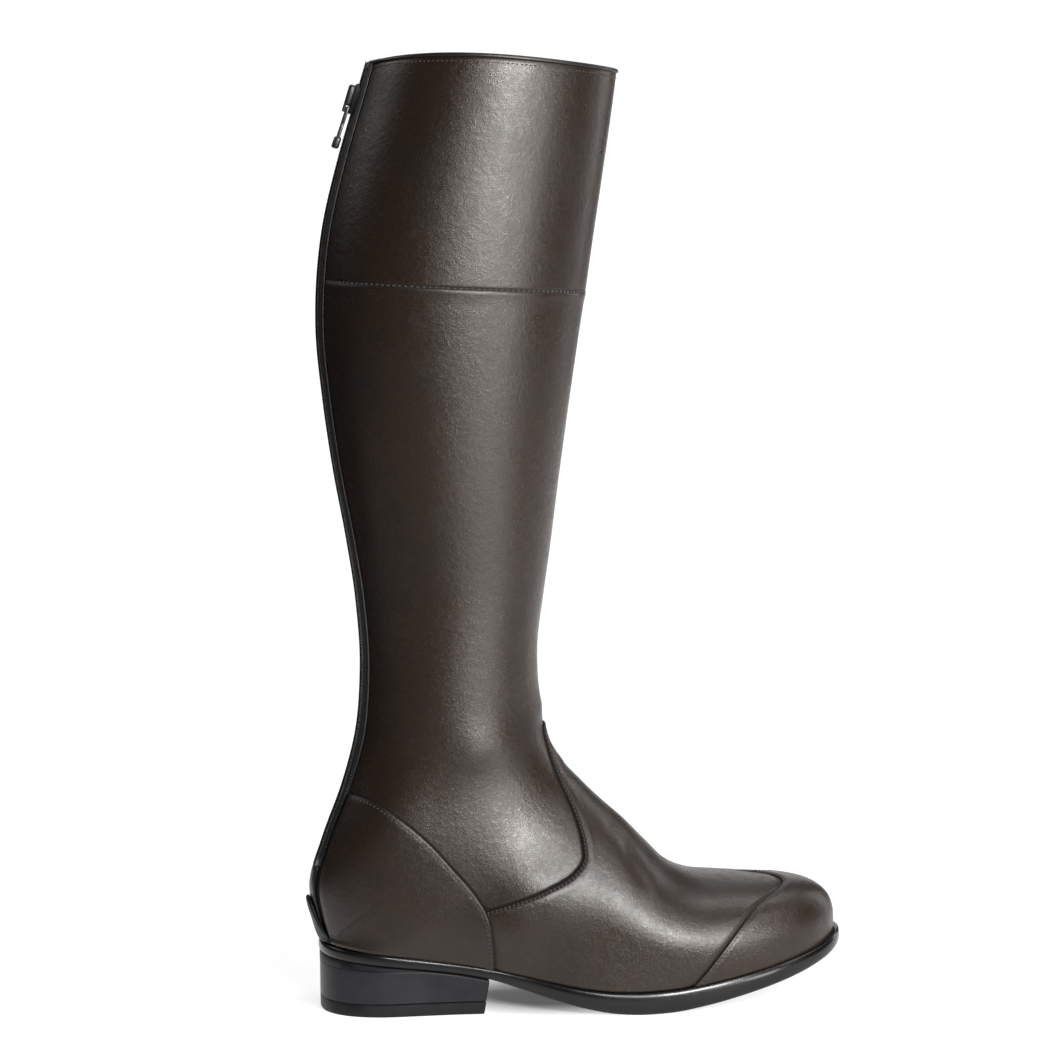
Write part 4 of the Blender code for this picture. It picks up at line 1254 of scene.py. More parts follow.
def loft(loops: Sequence[np.ndarray], around: bool, ends: bool) -> tuple[np.ndarray, list[tuple[int, ...]]]:
    """Skins loops of points that match one to one.

    Args:
        loops: The loops.
        around: True to join the last loop to the first.
        ends: True to close the first and last loop.

    Returns:
        Points and faces, facing out.
    """
    count = len(loops[0])
    points = np.concatenate(loops)
    faces: list[tuple[int, ...]] = []
    total = len(loops) if around else len(loops) - 1
    for i in range(total):
        low, high = i * count, ((i + 1) % len(loops)) * count
        for j in range(count):
            k = (j + 1) % count
            faces.append((low + j, low + k, high + k, high + j))
    if ends:
        for base, turn in ((0, True), ((len(loops) - 1) * count, False)):
            ring = list(range(base, base + count))
            half = count // 2
            strips = []
            for j in range(half):
                corners = [ring[j], ring[j + 1], ring[count - 1 - j], ring[(count - j) % count]]
                strips.append(tuple(dict.fromkeys(corners)))
            faces += [tuple(reversed(strip)) if turn else strip for strip in strips if len(strip) > 2]
    bm = bmesh.new()
    verts = [bm.verts.new(point) for point in points]
    for face in faces:
        bm.faces.new([verts[v] for v in face])
    bmesh.ops.recalc_face_normals(bm, faces=bm.faces)
    volume = bm.calc_volume(signed=True)
    if volume < 0:
        bmesh.ops.reverse_faces(bm, faces=bm.faces)
    bm.verts.index_update()
    out = [tuple(v.index for v in face.verts) for face in bm.faces]
    bm.free()
    return points, out


def joined(parts: Sequence[tuple[np.ndarray, list]]) -> tuple[np.ndarray, list]:
    """Joins several forms into one.

    Args:
        parts: Points and faces of each.

    Returns:
        All the points and all the faces.
    """
    starts = np.cumsum([0] + [len(points) for points, _ in parts])
    faces = [tuple(v + int(start) for v in face) for start, (_, cells) in zip(starts, parts) for face in cells]
    return np.concatenate([points for points, _ in parts]), faces


@dataclass
class Boot:
    """What every piece shares: the form, the finishes and the frame's body."""

    last: Last
    finishes: Finishes

    body = "boot"

    def seat(self, piece: bpy.types.Object, slot: str, *nodes: str) -> None:
        """Puts a piece on the frame.

        Args:
            piece: The piece.
            slot: The record's material slot; not used.
            nodes: The solids that it stands for.
        """
        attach(piece, self.body)
        if nodes:
            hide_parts(*nodes)


class BeadRow(Boot):
    """Small rounded forms laid along lines on the boot by a geometry tree and turned into plain mesh."""

    @staticmethod
    def start_tree(name: str, labels: Sequence[str]) -> tuple[Graph, bpy.types.Node, dict[str, str], bpy.types.Node]:
        """Starts a tree that spaces points along lines.

        Args:
            name: The tree's name.
            labels: Names of its number inputs, with Pitch for the spacing.

        Returns:
            The graph, its input node, the identifier of each input and the node of spaced points.
        """
        tree = bpy.data.node_groups.new(name, "GeometryNodeTree")
        tree.interface.new_socket("Lines", in_out="INPUT", socket_type="NodeSocketGeometry")
        kinds = {label: "NodeSocketFloat" for label in labels} | {"Finish": "NodeSocketMaterial"}
        ids = {label: tree.interface.new_socket(label, in_out="INPUT", socket_type=kind).identifier
               for label, kind in kinds.items()}
        tree.interface.new_socket("Beads", in_out="OUTPUT", socket_type="NodeSocketGeometry")
        g = Graph(tree)
        source = g.node("NodeGroupInput")
        curve = g.node("GeometryNodeMeshToCurve", None, {"Mesh": source.outputs["Lines"]})
        spaced = g.node("GeometryNodeResampleCurve", {"mode": "LENGTH"},
                        {"Curve": curve.outputs[0], "Length": source.outputs["Pitch"]})
        return g, source, ids, spaced

    @staticmethod
    def turned(g: Graph, first: str, second: str) -> bpy.types.NodeSocket:
        """Turns each form to lie along its line (X) and to stand up from the boot (Z).

        Args:
            g: The graph.
            first: The axis that is turned first.
            second: The axis that is turned about the first.

        Returns:
            The rotation.
        """
        aims = {"X": g.node("GeometryNodeInputTangent").outputs[0],
                "Z": g.node("GeometryNodeInputNamedAttribute", {"data_type": "FLOAT_VECTOR"},
                            {"Name": "seat"}).outputs[0]}
        start = g.node("FunctionNodeAlignRotationToVector", {"axis": first}, {"Vector": aims[first]})
        return g.node("FunctionNodeAlignRotationToVector", {"axis": second, "pivot_axis": first},
                      {"Rotation": start.outputs[0], "Vector": aims[second]}).outputs[0]

    @staticmethod
    def end_tree(g: Graph, source: bpy.types.Node, points: bpy.types.Node, turn: bpy.types.NodeSocket,
                 cells: tuple[int, int], sizes: Sequence[str]) -> None:
        """Lays a rounded form at each point and ends the tree.

        Args:
            g: The graph.
            source: Its input node.
            points: The node of placed points.
            turn: The forms' rotation.
            cells: Segments and rings of the form.
            sizes: The inputs for its length, width and height.
        """
        bead = g.node("GeometryNodeMeshUVSphere", None, {"Segments": cells[0], "Rings": cells[1], "Radius": 0.5})
        size = g.node("ShaderNodeCombineXYZ", None, {k: source.outputs[label] for k, label in enumerate(sizes)})
        shaped = g.node("GeometryNodeTransform", None, {"Geometry": bead.outputs[0], "Scale": size.outputs[0]})
        laid = g.node("GeometryNodeInstanceOnPoints", None,
                      {"Points": points.outputs[0], "Instance": shaped.outputs[0], "Rotation": turn})
        real = g.node("GeometryNodeRealizeInstances", None, {0: laid.outputs[0]})
        soft = g.node("GeometryNodeSetShadeSmooth", None, {0: real.outputs[0]})
        dyed = g.node("GeometryNodeSetMaterial", None,
                      {"Geometry": soft.outputs[0], "Material": source.outputs["Finish"]})
        g.node("NodeGroupOutput", None, {0: dyed.outputs[0]})

    def lay(self, name: str, lines: Sequence[Line], tree: bpy.types.NodeTree, values: dict[str, object],
            slot: str) -> None:
        """Lays the forms along lines and keeps them as plain mesh.

        Args:
            name: The piece's name.
            lines: Points and outward directions of each line.
            tree: The tree that lays them.
            values: Values of the tree's inputs, by identifier.
            slot: The record's material slot.
        """
        points, edges, seats = [], [], []
        for line, out in lines:
            start = len(points)
            points += [((p[0] - CENTRE_X) * MM, p[1] * MM, p[2] * MM) for p in line]
            edges += [(start + k, start + k + 1) for k in range(len(line) - 1)]
            seats += [tuple(o) for o in out]
        mesh = bpy.data.meshes.new(name + "_lines")
        mesh.from_pydata(points, edges, [])
        attribute = mesh.attributes.new("seat", "FLOAT_VECTOR", "POINT")
        attribute.data.foreach_set("vector", np.array(seats, np.float32).ravel())
        holder = bpy.data.objects.new(name, mesh)
        modifier = holder.modifiers.new("beads", "NODES")
        modifier.node_group = tree
        for identifier, value in values.items():
            modifier[identifier] = value
        bpy.context.scene.collection.objects.link(holder)
        bpy.context.view_layer.update()
        real = bpy.data.meshes.new_from_object(holder.evaluated_get(bpy.context.evaluated_depsgraph_get()))
        holder.modifiers.clear()
        holder.data = real
        bpy.data.meshes.remove(mesh)
        LOG.info("%s: %d faces", name, len(real.polygons))
        self.seat(holder, slot)


class StitchRows(BeadRow):
    """Rows of sewn stitches, laid along lines on the leather."""

    slant = 0.12
    cells = (6, 5)

    def __init__(self, last: Last, finishes: Finishes) -> None:
        """Builds the tree that lays the stitches.

        Args:
            last: The form.
            finishes: The finishes.
        """
        super().__init__(last, finishes)
        g, source, self.ids, spaced = self.start_tree("stitch row", ("Pitch", "Length", "Width", "Slant"))
        turn = g.node("ShaderNodeCombineXYZ", None, {"Z": source.outputs["Slant"]})
        slanted = g.node("FunctionNodeRotateRotation", {"rotation_space": "LOCAL"},
                         {0: self.turned(g, "X", "Z"), 1: turn.outputs[0]})
        self.end_tree(g, source, spaced, slanted.outputs[0], self.cells, ("Length", "Width", "Width"))
        self.tree = g.tree

    def sew(self, name: str, lines: Sequence[Line], thread: bpy.types.Material, slot: str, pitch: float = 1.9,
            length: float = 1.4, width: float = 0.62) -> None:
        """Sews rows of stitches.

        Args:
            name: The piece's name.
            lines: Points and outward directions of each row.
            thread: The thread's material.
            slot: The record's material slot.
            pitch: From stitch to stitch.
            length: A stitch's length.
            width: A stitch's width.
        """
        values = {"Pitch": pitch * MM, "Length": length * MM, "Width": width * MM, "Slant": self.slant,
                  "Finish": thread}
        self.lay(name, lines, self.tree, {self.ids[label]: value for label, value in values.items()}, slot)


def seam_lines(skin: Skin, name: str, level: float, heights: np.ndarray,
               wanted: Callable[[Skin], np.ndarray] | None = None) -> list[Line]:
    """Follows a level of a field and gives the lines that stitches lie along.

    Args:
        skin: The sheet.
        name: The field.
        level: The level.
        heights: Height of the leather over the sheet.
        wanted: Picks the points that are sewn.

    Returns:
        Points and outward directions of each line.
    """
    out = skin.normals()
    lines = []
    for pairs, shares in skin.contours(name, level):
        a, b = pairs[:, 0], pairs[:, 1]
        s = shares[:, None]
        points = skin.points[a] * (1 - s) + skin.points[b] * s
        seat = out[a] * (1 - s) + out[b] * s
        seat /= np.linalg.norm(seat, axis=1, keepdims=True)
        lift = heights[a] * (1 - shares) + heights[b] * shares
        points = points + seat * lift[:, None]
        values = {key: column[a] * (1 - shares) + column[b] * shares for key, column in skin.fields.items()}
        line = Skin(points, np.zeros((0, 3), int), values)
        mask = np.ones(len(points), bool) if wanted is None else wanted(line)
        start = None
        for k in range(len(points) + 1):
            if k < len(points) and mask[k]:
                start = k if start is None else start
            elif start is not None:
                if k - start > 3:
                    lines.append((points[start:k], seat[start:k]))
                start = None
    return lines


@dataclass
class Upper(Boot):
    """The shaft and foot under the overlays, with its lining and its collar seam."""

    columns: int = 132
    step: float = 3.0
    groove: float = 0.45
    close_step: float = 2.0
    band_reach: float = 3.0
    band_rows: tuple[float, ...] = (-2.0, -1.2, -0.7, -0.35, 0.0, 0.35, 0.7, 1.2, 2.0, 3.0)
    edge_levels: tuple[float, ...] = (-2.4, -1.2, -0.5, 0.0)
    edge_snap: float = 0.3
    # width of the painted shade strip on the upper beside the overlays' edges
    shade_line_reach: float = 1.25
    collar_inset: float = 3.2

    def build(self, stitches: StitchRows, edges: Sequence[Outline]) -> None:
        """Makes the leather and lining as one shell, darker along the band seam and with painted shade beside the
        overlays' edges, and sews the band and the collar.

        Args:
            stitches: The stitch maker.
            edges: Outlines of the overlays whose edges get a painted shadow line on the upper beside them.
        """
        last = self.last
        band = last.station["band"]
        top = last.stations[-1]
        rows = np.concatenate([last.toe_stations("heel_back", self.step),
                               last.stations_between("heel_back", "zip_foot", self.close_step)[1:],
                               last.stations_between("zip_foot", last.zip_open, self.close_step)[1:],
                               last.stations_between(last.zip_open, band - self.band_reach, self.step)[1:],
                               band + np.array(self.band_rows),
                               last.stations_between(band + self.band_reach, top, self.step)[1:]])
        skin = last.sheet(rows, self.columns, slit=True)
        skin.measure(np.max([outline.signed(skin.points) for outline in edges], axis=0))
        skin.snap(self.edge_levels, self.edge_snap)
        for level in self.edge_levels:
            skin.split("edge", level)
        station, hem = skin.fields["station"], top - self.collar_inset
        away = np.abs(station - band)
        height = -self.groove * np.exp(-(away / 0.55) ** 2)
        height += 0.35 * np.exp(-((station - band + 2.2) / 1.6) ** 2)
        height -= 0.15 * np.exp(-((station - hem) / 0.7) ** 2)
        # sewn: darker along the band seam, plus painted shade in a strip just outside the vamp and counter edges
        sewn = 0.95 * np.exp(-(away / 1.05) ** 4)
        sewn = np.maximum(sewn, 0.9 * (1 - eased(-skin.fields["edge"], 0.5, 2.2)))
        points, tris = skin.shell(height, np.full(len(height), -WALL))
        both = np.concatenate([np.clip(sewn, 0, 1), np.zeros(len(sewn))])
        piece = to_object("upper_leather", points, tris, self.finishes.leather, {"sewn": both})
        inner = np.repeat([False, True], len(skin.points))
        dress_faces(piece, self.finishes.lining, inner)
        # painted shade: the darker sewn-edge finish laid on the upper just outside the overlays' edges
        dress_faces(piece, self.finishes.sewn, np.tile(skin.fields["edge"] > -self.shade_line_reach, 2) & ~inner)
        self.seat(piece, "leather", "upper")
        lines = seam_lines(skin, "station", band - 0.15, height + 0.2)
        stitches.sew("band_stitches", lines, self.finishes.thread, "leather", 2.95, 1.85, 0.85)
        lines = seam_lines(skin, "station", hem, height + 0.12)
        stitches.sew("collar_stitches", lines, self.finishes.thread, "leather", 2.3, 1.5, 0.6)


class Overlay(Boot):
    """A leather piece laid over the upper, with a rolled edge and rows of stitches."""

    name = ""
    nodes: tuple[str, ...] = ()
    slot = "leather"
    height = 1.2
    low = -0.3
    roll = 3.0
    share = 0.4
    rows: tuple[float, ...] = (1.7,)
    pitch = 2.2
    snap = 0.3
    dark = 0.5
    dark_from = 2.0
    dark_to = 3.4
    band = 0.0
    span: tuple[str, str, float]
    columns = 150
    finish = "leather"
    edge_dark = 0.9
    stitch_dent = 0.12

    def stations(self) -> np.ndarray:
        """Gives the stations of the piece's sheet."""
        return self.last.stations_between(*self.span)

    def rough(self, skin: Skin) -> np.ndarray:
        """Gives a field that is 0 on the piece's edge and above 0 inside."""
        raise NotImplementedError

    def shade(self, skin: Skin) -> np.ndarray:
        """Gives how dark the leather is along the sewn edge."""
        edge = skin.fields["edge"]
        return np.maximum(self.edge_dark * np.exp(-(edge / 0.45) ** 2),
                          self.dark * (1 - eased(edge, self.dark_from, self.dark_to)))

    def heights(self, skin: Skin) -> np.ndarray:
        """Gives the piece's height over the upper.

        Args:
            skin: The piece's sheet.

        Returns:
            The height at each point.
        """
        edge = skin.fields["edge"]
        profile = rolled(edge, self.roll, self.share)
        for row in self.rows:
            profile = profile - self.stitch_dent * np.exp(-((edge - row) / 0.5) ** 2)
        return self.height * profile

    def sewn(self, line: Skin) -> np.ndarray:
        """Picks the points of a stitch row that are sewn."""
        return np.ones(len(line.points), bool)

    def build(self, stitches: StitchRows) -> None:
        """Makes the piece and sews it.

        Args:
            stitches: The stitch maker.
        """
        skin = self.last.sheet(self.stations(), self.columns, slit=False)
        skin.measure(self.rough(skin))
        levels = [0.0, 0.12 * self.roll, 0.3 * self.roll, 0.6 * self.roll, self.roll, self.dark_to]
        skin.snap(levels, self.snap)
        for level in levels:
            skin.split("edge", level)
        skin = skin.kept("edge", 0.0)
        top = self.heights(skin)
        # shade: dark sewn edge, and on the vamp also painted shade beside the pieces over it
        shade = self.shade(skin)
        points, tris = skin.shell(top, np.full(len(top), self.low))
        finish = getattr(self.finishes, self.finish)
        piece = to_object(self.name, points, tris, finish, {"sewn": np.tile(shade, 2)})
        if self.band:
            dress_faces(piece, self.finishes.sewn, np.tile(skin.fields["edge"] < self.band, 2))
        self.seat(piece, self.slot, *self.nodes)
        lines = [line for row in self.rows
                 for line in seam_lines(skin, "edge", row, top + self.stitch_dent, self.sewn)]
        if lines:
            stitches.sew(self.name + "_stitches", lines, self.finishes.thread, self.slot, self.pitch)


COUNTER_EDGE = smooth_line(COUNTER_SEAM)
COUNTER_OUTLINE = Outline(np.concatenate([COUNTER_EDGE, [(91, -40), (-40, -40), (-40, 111)]]), Plane.FROM_SIDE)
CAP_EDGE = Track([row[0] for row in CAP_SEAM], [row[1] for row in CAP_SEAM])
UNDER_COUNTER = np.array([(x - 2.5, z) for x, z in COUNTER_EDGE if z < 51])
VAMP_OUTLINE = Outline(np.concatenate([smooth_line(VAMP_SEAM), UNDER_COUNTER,
                                       [(88, -40), (320, -40), (320, 175), (140, 175)]]), Plane.FROM_SIDE)


def before_cap(skin: Skin) -> np.ndarray:
    """Measures points from the toe cap's edge.

    Args:
        skin: The sheet.

    Returns:
        Lengths along the foot, above 0 on the cap.
    """
    middle = CAP_SEAM[-1][0]
    around = skin.fields["around"]
    return skin.points[:, 0] - CAP_EDGE.at(np.where(around > middle, 2 * middle - around, around))


class Vamp(Overlay):
    """The overlay from the instep seam forward to the toe cap."""

    name = "vamp_leather"
    nodes = ("vamp",)
    height = 1.3
    roll = 3.6
    share = 0.35
    rows = (0.85, 1.75)
    dark = 0.6
    dark_from = 2.2
    dark_to = 3.0
    band = 2.2
    span = ("toe_roll", "ankle_low", 1.5)

    def rough(self, skin: Skin) -> np.ndarray:
        """Gives a field that is 0 on the piece's edge and above 0 inside."""
        return np.minimum(VAMP_OUTLINE.signed(skin.points), 5.0 - before_cap(skin))

    @staticmethod
    def under(skin: Skin) -> np.ndarray:
        """Gives how far places lie beneath the counters or the toe cap."""
        return np.maximum(COUNTER_OUTLINE.signed(skin.points), before_cap(skin))

    def heights(self, skin: Skin) -> np.ndarray:
        """Gives the piece's height, thinned where the counter and the cap lie over it."""
        full = super().heights(skin) + 0.18 * np.exp(-((skin.fields["edge"] - 4.7) / 0.8) ** 2)
        return full * (1 - 0.6 * eased(self.under(skin), -4.0, 0.5))

    def shade(self, skin: Skin) -> np.ndarray:
        """Gives how dark the leather is along its sewn edge, plus painted shade beside the counters and the toe cap
        that lie over it.
        """
        return np.maximum(super().shade(skin), 0.9 * (1 - eased(-self.under(skin), 0.5, 2.4)))

    def sewn(self, line: Skin) -> np.ndarray:
        """Picks the points of a stitch row that are sewn."""
        return (self.under(line) < -0.6) & (VAMP_OUTLINE.signed(line.points) < 6)


class ToeCap(Overlay):
    """The overlay over the front of the vamp."""

    name = "toe_cap_leather"
    nodes = ("toe_cap",)
    height = 2.0
    low = 0.1
    roll = 2.6
    share = 0.5
    rows = (1.6,)
    dark = 0.3

    def stations(self) -> np.ndarray:
        """Gives the stations of the piece's sheet."""
        return self.last.toe_stations("throat", 1.5)

    def rough(self, skin: Skin) -> np.ndarray:
        """Gives a field that is 0 on the piece's edge and above 0 inside."""
        return before_cap(skin)


@dataclass
class Counter(Overlay):
    """The overlay round one side of the heel."""

    side: Side

    height = 1.6
    roll = 2.4
    share = 0.5
    rows = (1.8,)
    dark = 0.25
    near = 12.0
    span = ("instep_low", "ankle_high", 1.5)

    def __post_init__(self) -> None:
        """Names the piece for its side."""
        word = "lateral" if self.side is Side.OUTER else "medial"
        self.name = "counter_%s_leather" % word
        self.nodes = ("counter_" + word,)

    def rough(self, skin: Skin) -> np.ndarray:
        """Gives a field that is 0 on the piece's edge and above 0 inside."""
        return np.minimum(COUNTER_OUTLINE.signed(skin.points), skin.points[:, 1] * self.side.value - self.near)

    def sewn(self, line: Skin) -> np.ndarray:
        """Picks the points of a stitch row that are sewn."""
        away = line.points[:, 1] * self.side.value > self.near + 4.5
        return away & (COUNTER_OUTLINE.signed(line.points) < 7)


class SpurRest(Overlay):
    """The black ledge on the back of the heel that a spur sits on."""

    name = "spur_rest_shield"
    nodes = ("spur_rest",)
    slot = "rubber"
    height = 3.6
    low = 1.6
    roll = 1.4
    share = 0.72
    rows = ()
    dark = 0.0
    span = ("waist", "counter_high", 1.0)
    columns = 260
    finish = "rubber"
    front_x = 30.0

    def rough(self, skin: Skin) -> np.ndarray:
        """Gives a field that is 0 on the piece's edge and above 0 inside.

        Args:
            skin: The piece's sheet.

        Returns:
            The field at each point.
        """
        half = smooth_line(SPUR_HALF)
        other = half[1:][::-1] * np.array([-1, 1])
        outline = Outline(np.concatenate([other, half]), Plane.FROM_BEHIND)
        return np.minimum(outline.signed(skin.points), self.front_x - skin.points[:, 0])

    def heights(self, skin: Skin) -> np.ndarray:
        """Gives the ledge's height, thick at its top and thin at its foot."""
        thin = 1 - 0.45 * (1 - eased(skin.points[:, 2], 34, 52))
        return super().heights(skin) * thin


@dataclass
class Sole(Boot):
    """Welt, outsole, insole and the stacked heel."""

    welt_inner: float = 9.0
    heel_reach: float = 2.1
    toe_reach: float = 5.0
    heel_thick: float = 2.2
    toe_thick: float = 3.4
    insole_thick: float = 2.4
    insole_inset: float = 4.2
    breast_x: float = 87.4
    breast_rake: float = 2.2
    heel_taper: float = 1.0
    top_piece: float = 6.5
    bulge: float = 1.5
    count: int = 110
    sharp_deg: float = 38.0
    waist_x: float = 95.0
    ball_x: float = 155.0
    joint_z: float = 23.9
    joint_fall: float = 0.028
    ball_gain: float = 0.8
    insole_core: float = 16.0
    welt_levels: tuple[float, ...] = (0.0, 0.012, 0.035, 0.07, 0.12, 0.18, 0.25, 0.318, 0.32)
    sole_levels: tuple[float, ...] = (0.32, 0.322, 0.4, 0.5, 0.6, 0.7, 0.78, 0.86, 0.92, 0.96, 0.99, 1.0)
    tread_insets: tuple[float, ...] = (5.0, 10.0, 16.0)

    def outline(self, reach: Callable[[float], float], height: Callable[[float], float]) -> np.ndarray:
        """Draws the foot's outline moved out, at a height.

        Args:
            reach: How far out, by length along the foot.
            height: The height, by length along the foot.

        Returns:
            The loop's points, heel to toe up the outer side and back down the inner.
        """
        last = self.last
        t = np.linspace(0, math.pi, self.count + 1)
        lengths = last.heel_back_x + (last.tip_x - last.heel_back_x) * (1 - np.cos(t)) / 2
        sides = []
        for side in Side:
            y = last.axis_y(lengths) + side.value * last.feather_half(lengths, side)
            sides.append(np.stack([lengths, y], axis=1))
        loop = np.concatenate([sides[0], sides[1][::-1][1:-1]])
        tangent = np.roll(loop, -1, axis=0) - np.roll(loop, 1, axis=0)
        normal = np.stack([tangent[:, 1], -tangent[:, 0]], axis=1)
        normal /= np.linalg.norm(normal, axis=1, keepdims=True)
        moved = loop + normal * np.array([reach(x) for x in loop[:, 0]])[:, None]
        return np.array([(x, y, height(x)) for x, y in moved])

    def forefoot(self, x: float) -> float:
        """Runs from 0 at the heel to 1 at the ball."""
        return float(eased(x, self.waist_x, self.ball_x))

    def reach(self, x: float) -> float:
        """Gives how far the welt stands out from the upper.

        Args:
            x: A length along the foot.

        Returns:
            How far it stands out there.
        """
        t = min(max((x - 120) / 140, 0), 1)
        rest = self.toe_reach - self.heel_reach - self.ball_gain
        return self.heel_reach + self.ball_gain * self.forefoot(x) + rest * t * t

    def welt_top(self, x: float) -> float:
        """Gives the height of the welt's top."""
        return float(self.last.sole("feather_z", x)) - GAP

    def welt_low(self, x: float) -> float:
        """Gives the height of the welt's underside."""
        return self.welt_top(x) - self.heel_thick - (self.toe_thick - self.heel_thick) * self.forefoot(x)

    def tread(self, x: float) -> float:
        """Gives the height of the sole's underside."""
        return float(self.last.sole("tread_z", x))

    def build(self) -> None:
        """Makes the welt, the outsole, the insole and the heel."""
        self._welt()
        self._outsole()
        self._insole()
        self._heel()

    def band(self, share: float) -> np.ndarray:
        """Draws the sole's outer edge at one level of its round profile.

        Args:
            share: 0 at the welt's top, 1 at the tread.

        Returns:
            The loop's points.
        """
        def high(x: float) -> float:
            """Gives the band's whole height."""
            return self.welt_top(x) - self.tread(x)

        def out(x: float) -> float:
            """Gives how far out the level stands."""
            full = min(self.bulge, 0.2 * high(x))
            return self.reach(x) - full * (1 - math.sqrt(1 - abs(2 * share - 1) ** 2.6))

        return self.outline(out, lambda x: self.welt_top(x) - share * high(x))

    def _welt(self) -> None:
        """Makes the welt, the upper part of the round edge."""
        loops = [self.outline(lambda x: -self.welt_inner, self.welt_top)]
        loops += [self.band(share) for share in self.welt_levels]
        loops.append(self.outline(lambda x: -self.welt_inner, lambda x: self.welt_low(x) - 0.1))
        points, faces = loft(loops, around=True, ends=False)
        self.seat(to_object("welt_band", points, faces, self.finishes.edge), "sole_edge", "welt")

    def _outsole(self) -> None:
        """Makes the outsole, the lower part of the round edge."""
        core = -self.welt_inner - GAP
        loops = [self.outline(lambda x: core, self.welt_top),
                 self.outline(lambda x: core, lambda x: self.welt_low(x) - 0.4)]
        loops += [self.band(share) for share in self.sole_levels]
        loops += [self.outline(lambda x, o=inset: self.reach(x) - o, self.tread) for inset in self.tread_insets]
        points, faces = loft(loops, around=False, ends=True)
        self.seat(to_object("outsole_plate", points, faces, self.finishes.edge), "rubber", "outsole")

    def _insole(self) -> None:
        """Makes the insole."""
        def top(x: float) -> float:
            """Gives the height of the insole's top."""
            return float(self.last.sole("feather_z", x)) + self.insole_thick

        levels = [(self.insole_core, 0.0), (0.8, 0.0), (0.0, 0.6), (0.0, self.insole_thick),
                  (self.insole_core, self.insole_thick)]
        loops = [self.outline(lambda x, i=inset: -self.insole_inset - i, lambda x, d=drop: top(x) - d)
                 for inset, drop in levels]
        points, faces = loft(loops, around=False, ends=True)
        self.seat(to_object("insole_board", points, faces, self.finishes.board), "insole_board", "insole")

    def _heel_loop(self, inset: float, height: Callable[[float], float], rake: float, steps: int = 44) -> np.ndarray:
        """Draws the heel's outline at one level, round the back between its two front corners.

        Args:
            inset: How far it is drawn in.
            height: Height by length along the foot.
            rake: How far its front is set back.
            steps: Points on each side.

        Returns:
            The loop's points.
        """
        last = self.last
        front = self.breast_x - rake
        t = np.linspace(0, math.pi / 2, steps + 1)
        lengths = last.heel_back_x + (front - last.heel_back_x) * (1 - np.cos(t))
        sides: dict[Side, list[tuple[float, float]]] = {Side.OUTER: [], Side.INNER: []}
        for x in lengths:
            stretch = (x - last.heel_back_x) / (front - last.heel_back_x)
            back = (self.heel_reach - 0.6 - 0.3 * inset) * (1 - stretch)
            for side, line in sides.items():
                half = last.feather_half(x, side) + (self.heel_reach - 0.4 - inset) * min(1, 3 * stretch)
                line.append((x - back, last.axis_y(x) + side.value * half))
        outline = sides[Side.OUTER] + sides[Side.INNER][::-1][:-1]
        return np.array([(x, y, height(x)) for x, y in outline])

    def _heel(self) -> None:
        """Makes the heel's seat, its stack and its top piece."""
        split = self.breast_rake * self.top_piece / self.tread(self.breast_x)
        rake = self.breast_rake - split
        taper_share = self.heel_taper * 0.7

        def head(drop: float) -> Callable[[float], float]:
            """Gives a height below the sole."""
            return lambda x: self.tread(x) - 0.25 - drop

        def line(drop: float) -> Callable[[float], float]:
            """Gives a height below the joint between the seat and the stack."""
            return lambda x: min(self.tread(x) - 0.9, self.joint_z - self.joint_fall * (x - 10)) - drop

        foot, top = self.top_piece + 0.12, self.top_piece - 0.12
        self._heel_layer("heel_seat_layer", [
            (1.0, head(0.0), 0.3), (0.1, head(0.12), 0.05), (-0.3, head(0.4), 0.0), (-0.3, line(-0.3), 0.0),
            (0.3, line(0.0), 0.1),
        ], self.finishes.rubber, "sole_edge")
        self._heel_layer("heel_stack", [
            (0.45, line(0.02), 0.2), (0.05, line(0.12), 0.05), (-0.1, line(0.6), 0.0), (0.15, line(1.7), 0.1),
            (taper_share, lambda x: foot + 0.35, rake), (taper_share + 0.35, lambda x: foot, rake + 0.3),
        ], self.finishes.heel, "sole_edge", "heel_block")
        self._heel_layer("heel_tip", [
            (taper_share + 0.35, lambda x: top, rake + 0.3), (taper_share, lambda x: top - 0.35, rake),
            (self.heel_taper, lambda x: 1.0, self.breast_rake),
            (self.heel_taper + 0.25, lambda x: 0.3, self.breast_rake + 0.2),
            (self.heel_taper + 0.9, lambda x: 0.0, self.breast_rake + 0.8),
        ], self.finishes.rubber, "rubber", "heel_top_piece")

    def _heel_layer(self, name: str, levels: Sequence[tuple[float, Callable[[float], float], float]],
                    finish: bpy.types.Material, slot: str, *nodes: str) -> None:
        """Makes one layer of the heel.

        Args:
            name: The piece's name.
            levels: Inset, height and rake of its outlines from the top down.
            finish: Its material.
            slot: The record's material slot.
            nodes: The solids that it stands for.
        """
        points, faces = loft([self._heel_loop(*level) for level in levels], around=False, ends=True)
        piece = to_object(name, points, faces, finish)
        piece.data.set_sharp_from_angle(angle=math.radians(self.sharp_deg))
        self.seat(piece, slot, *nodes)


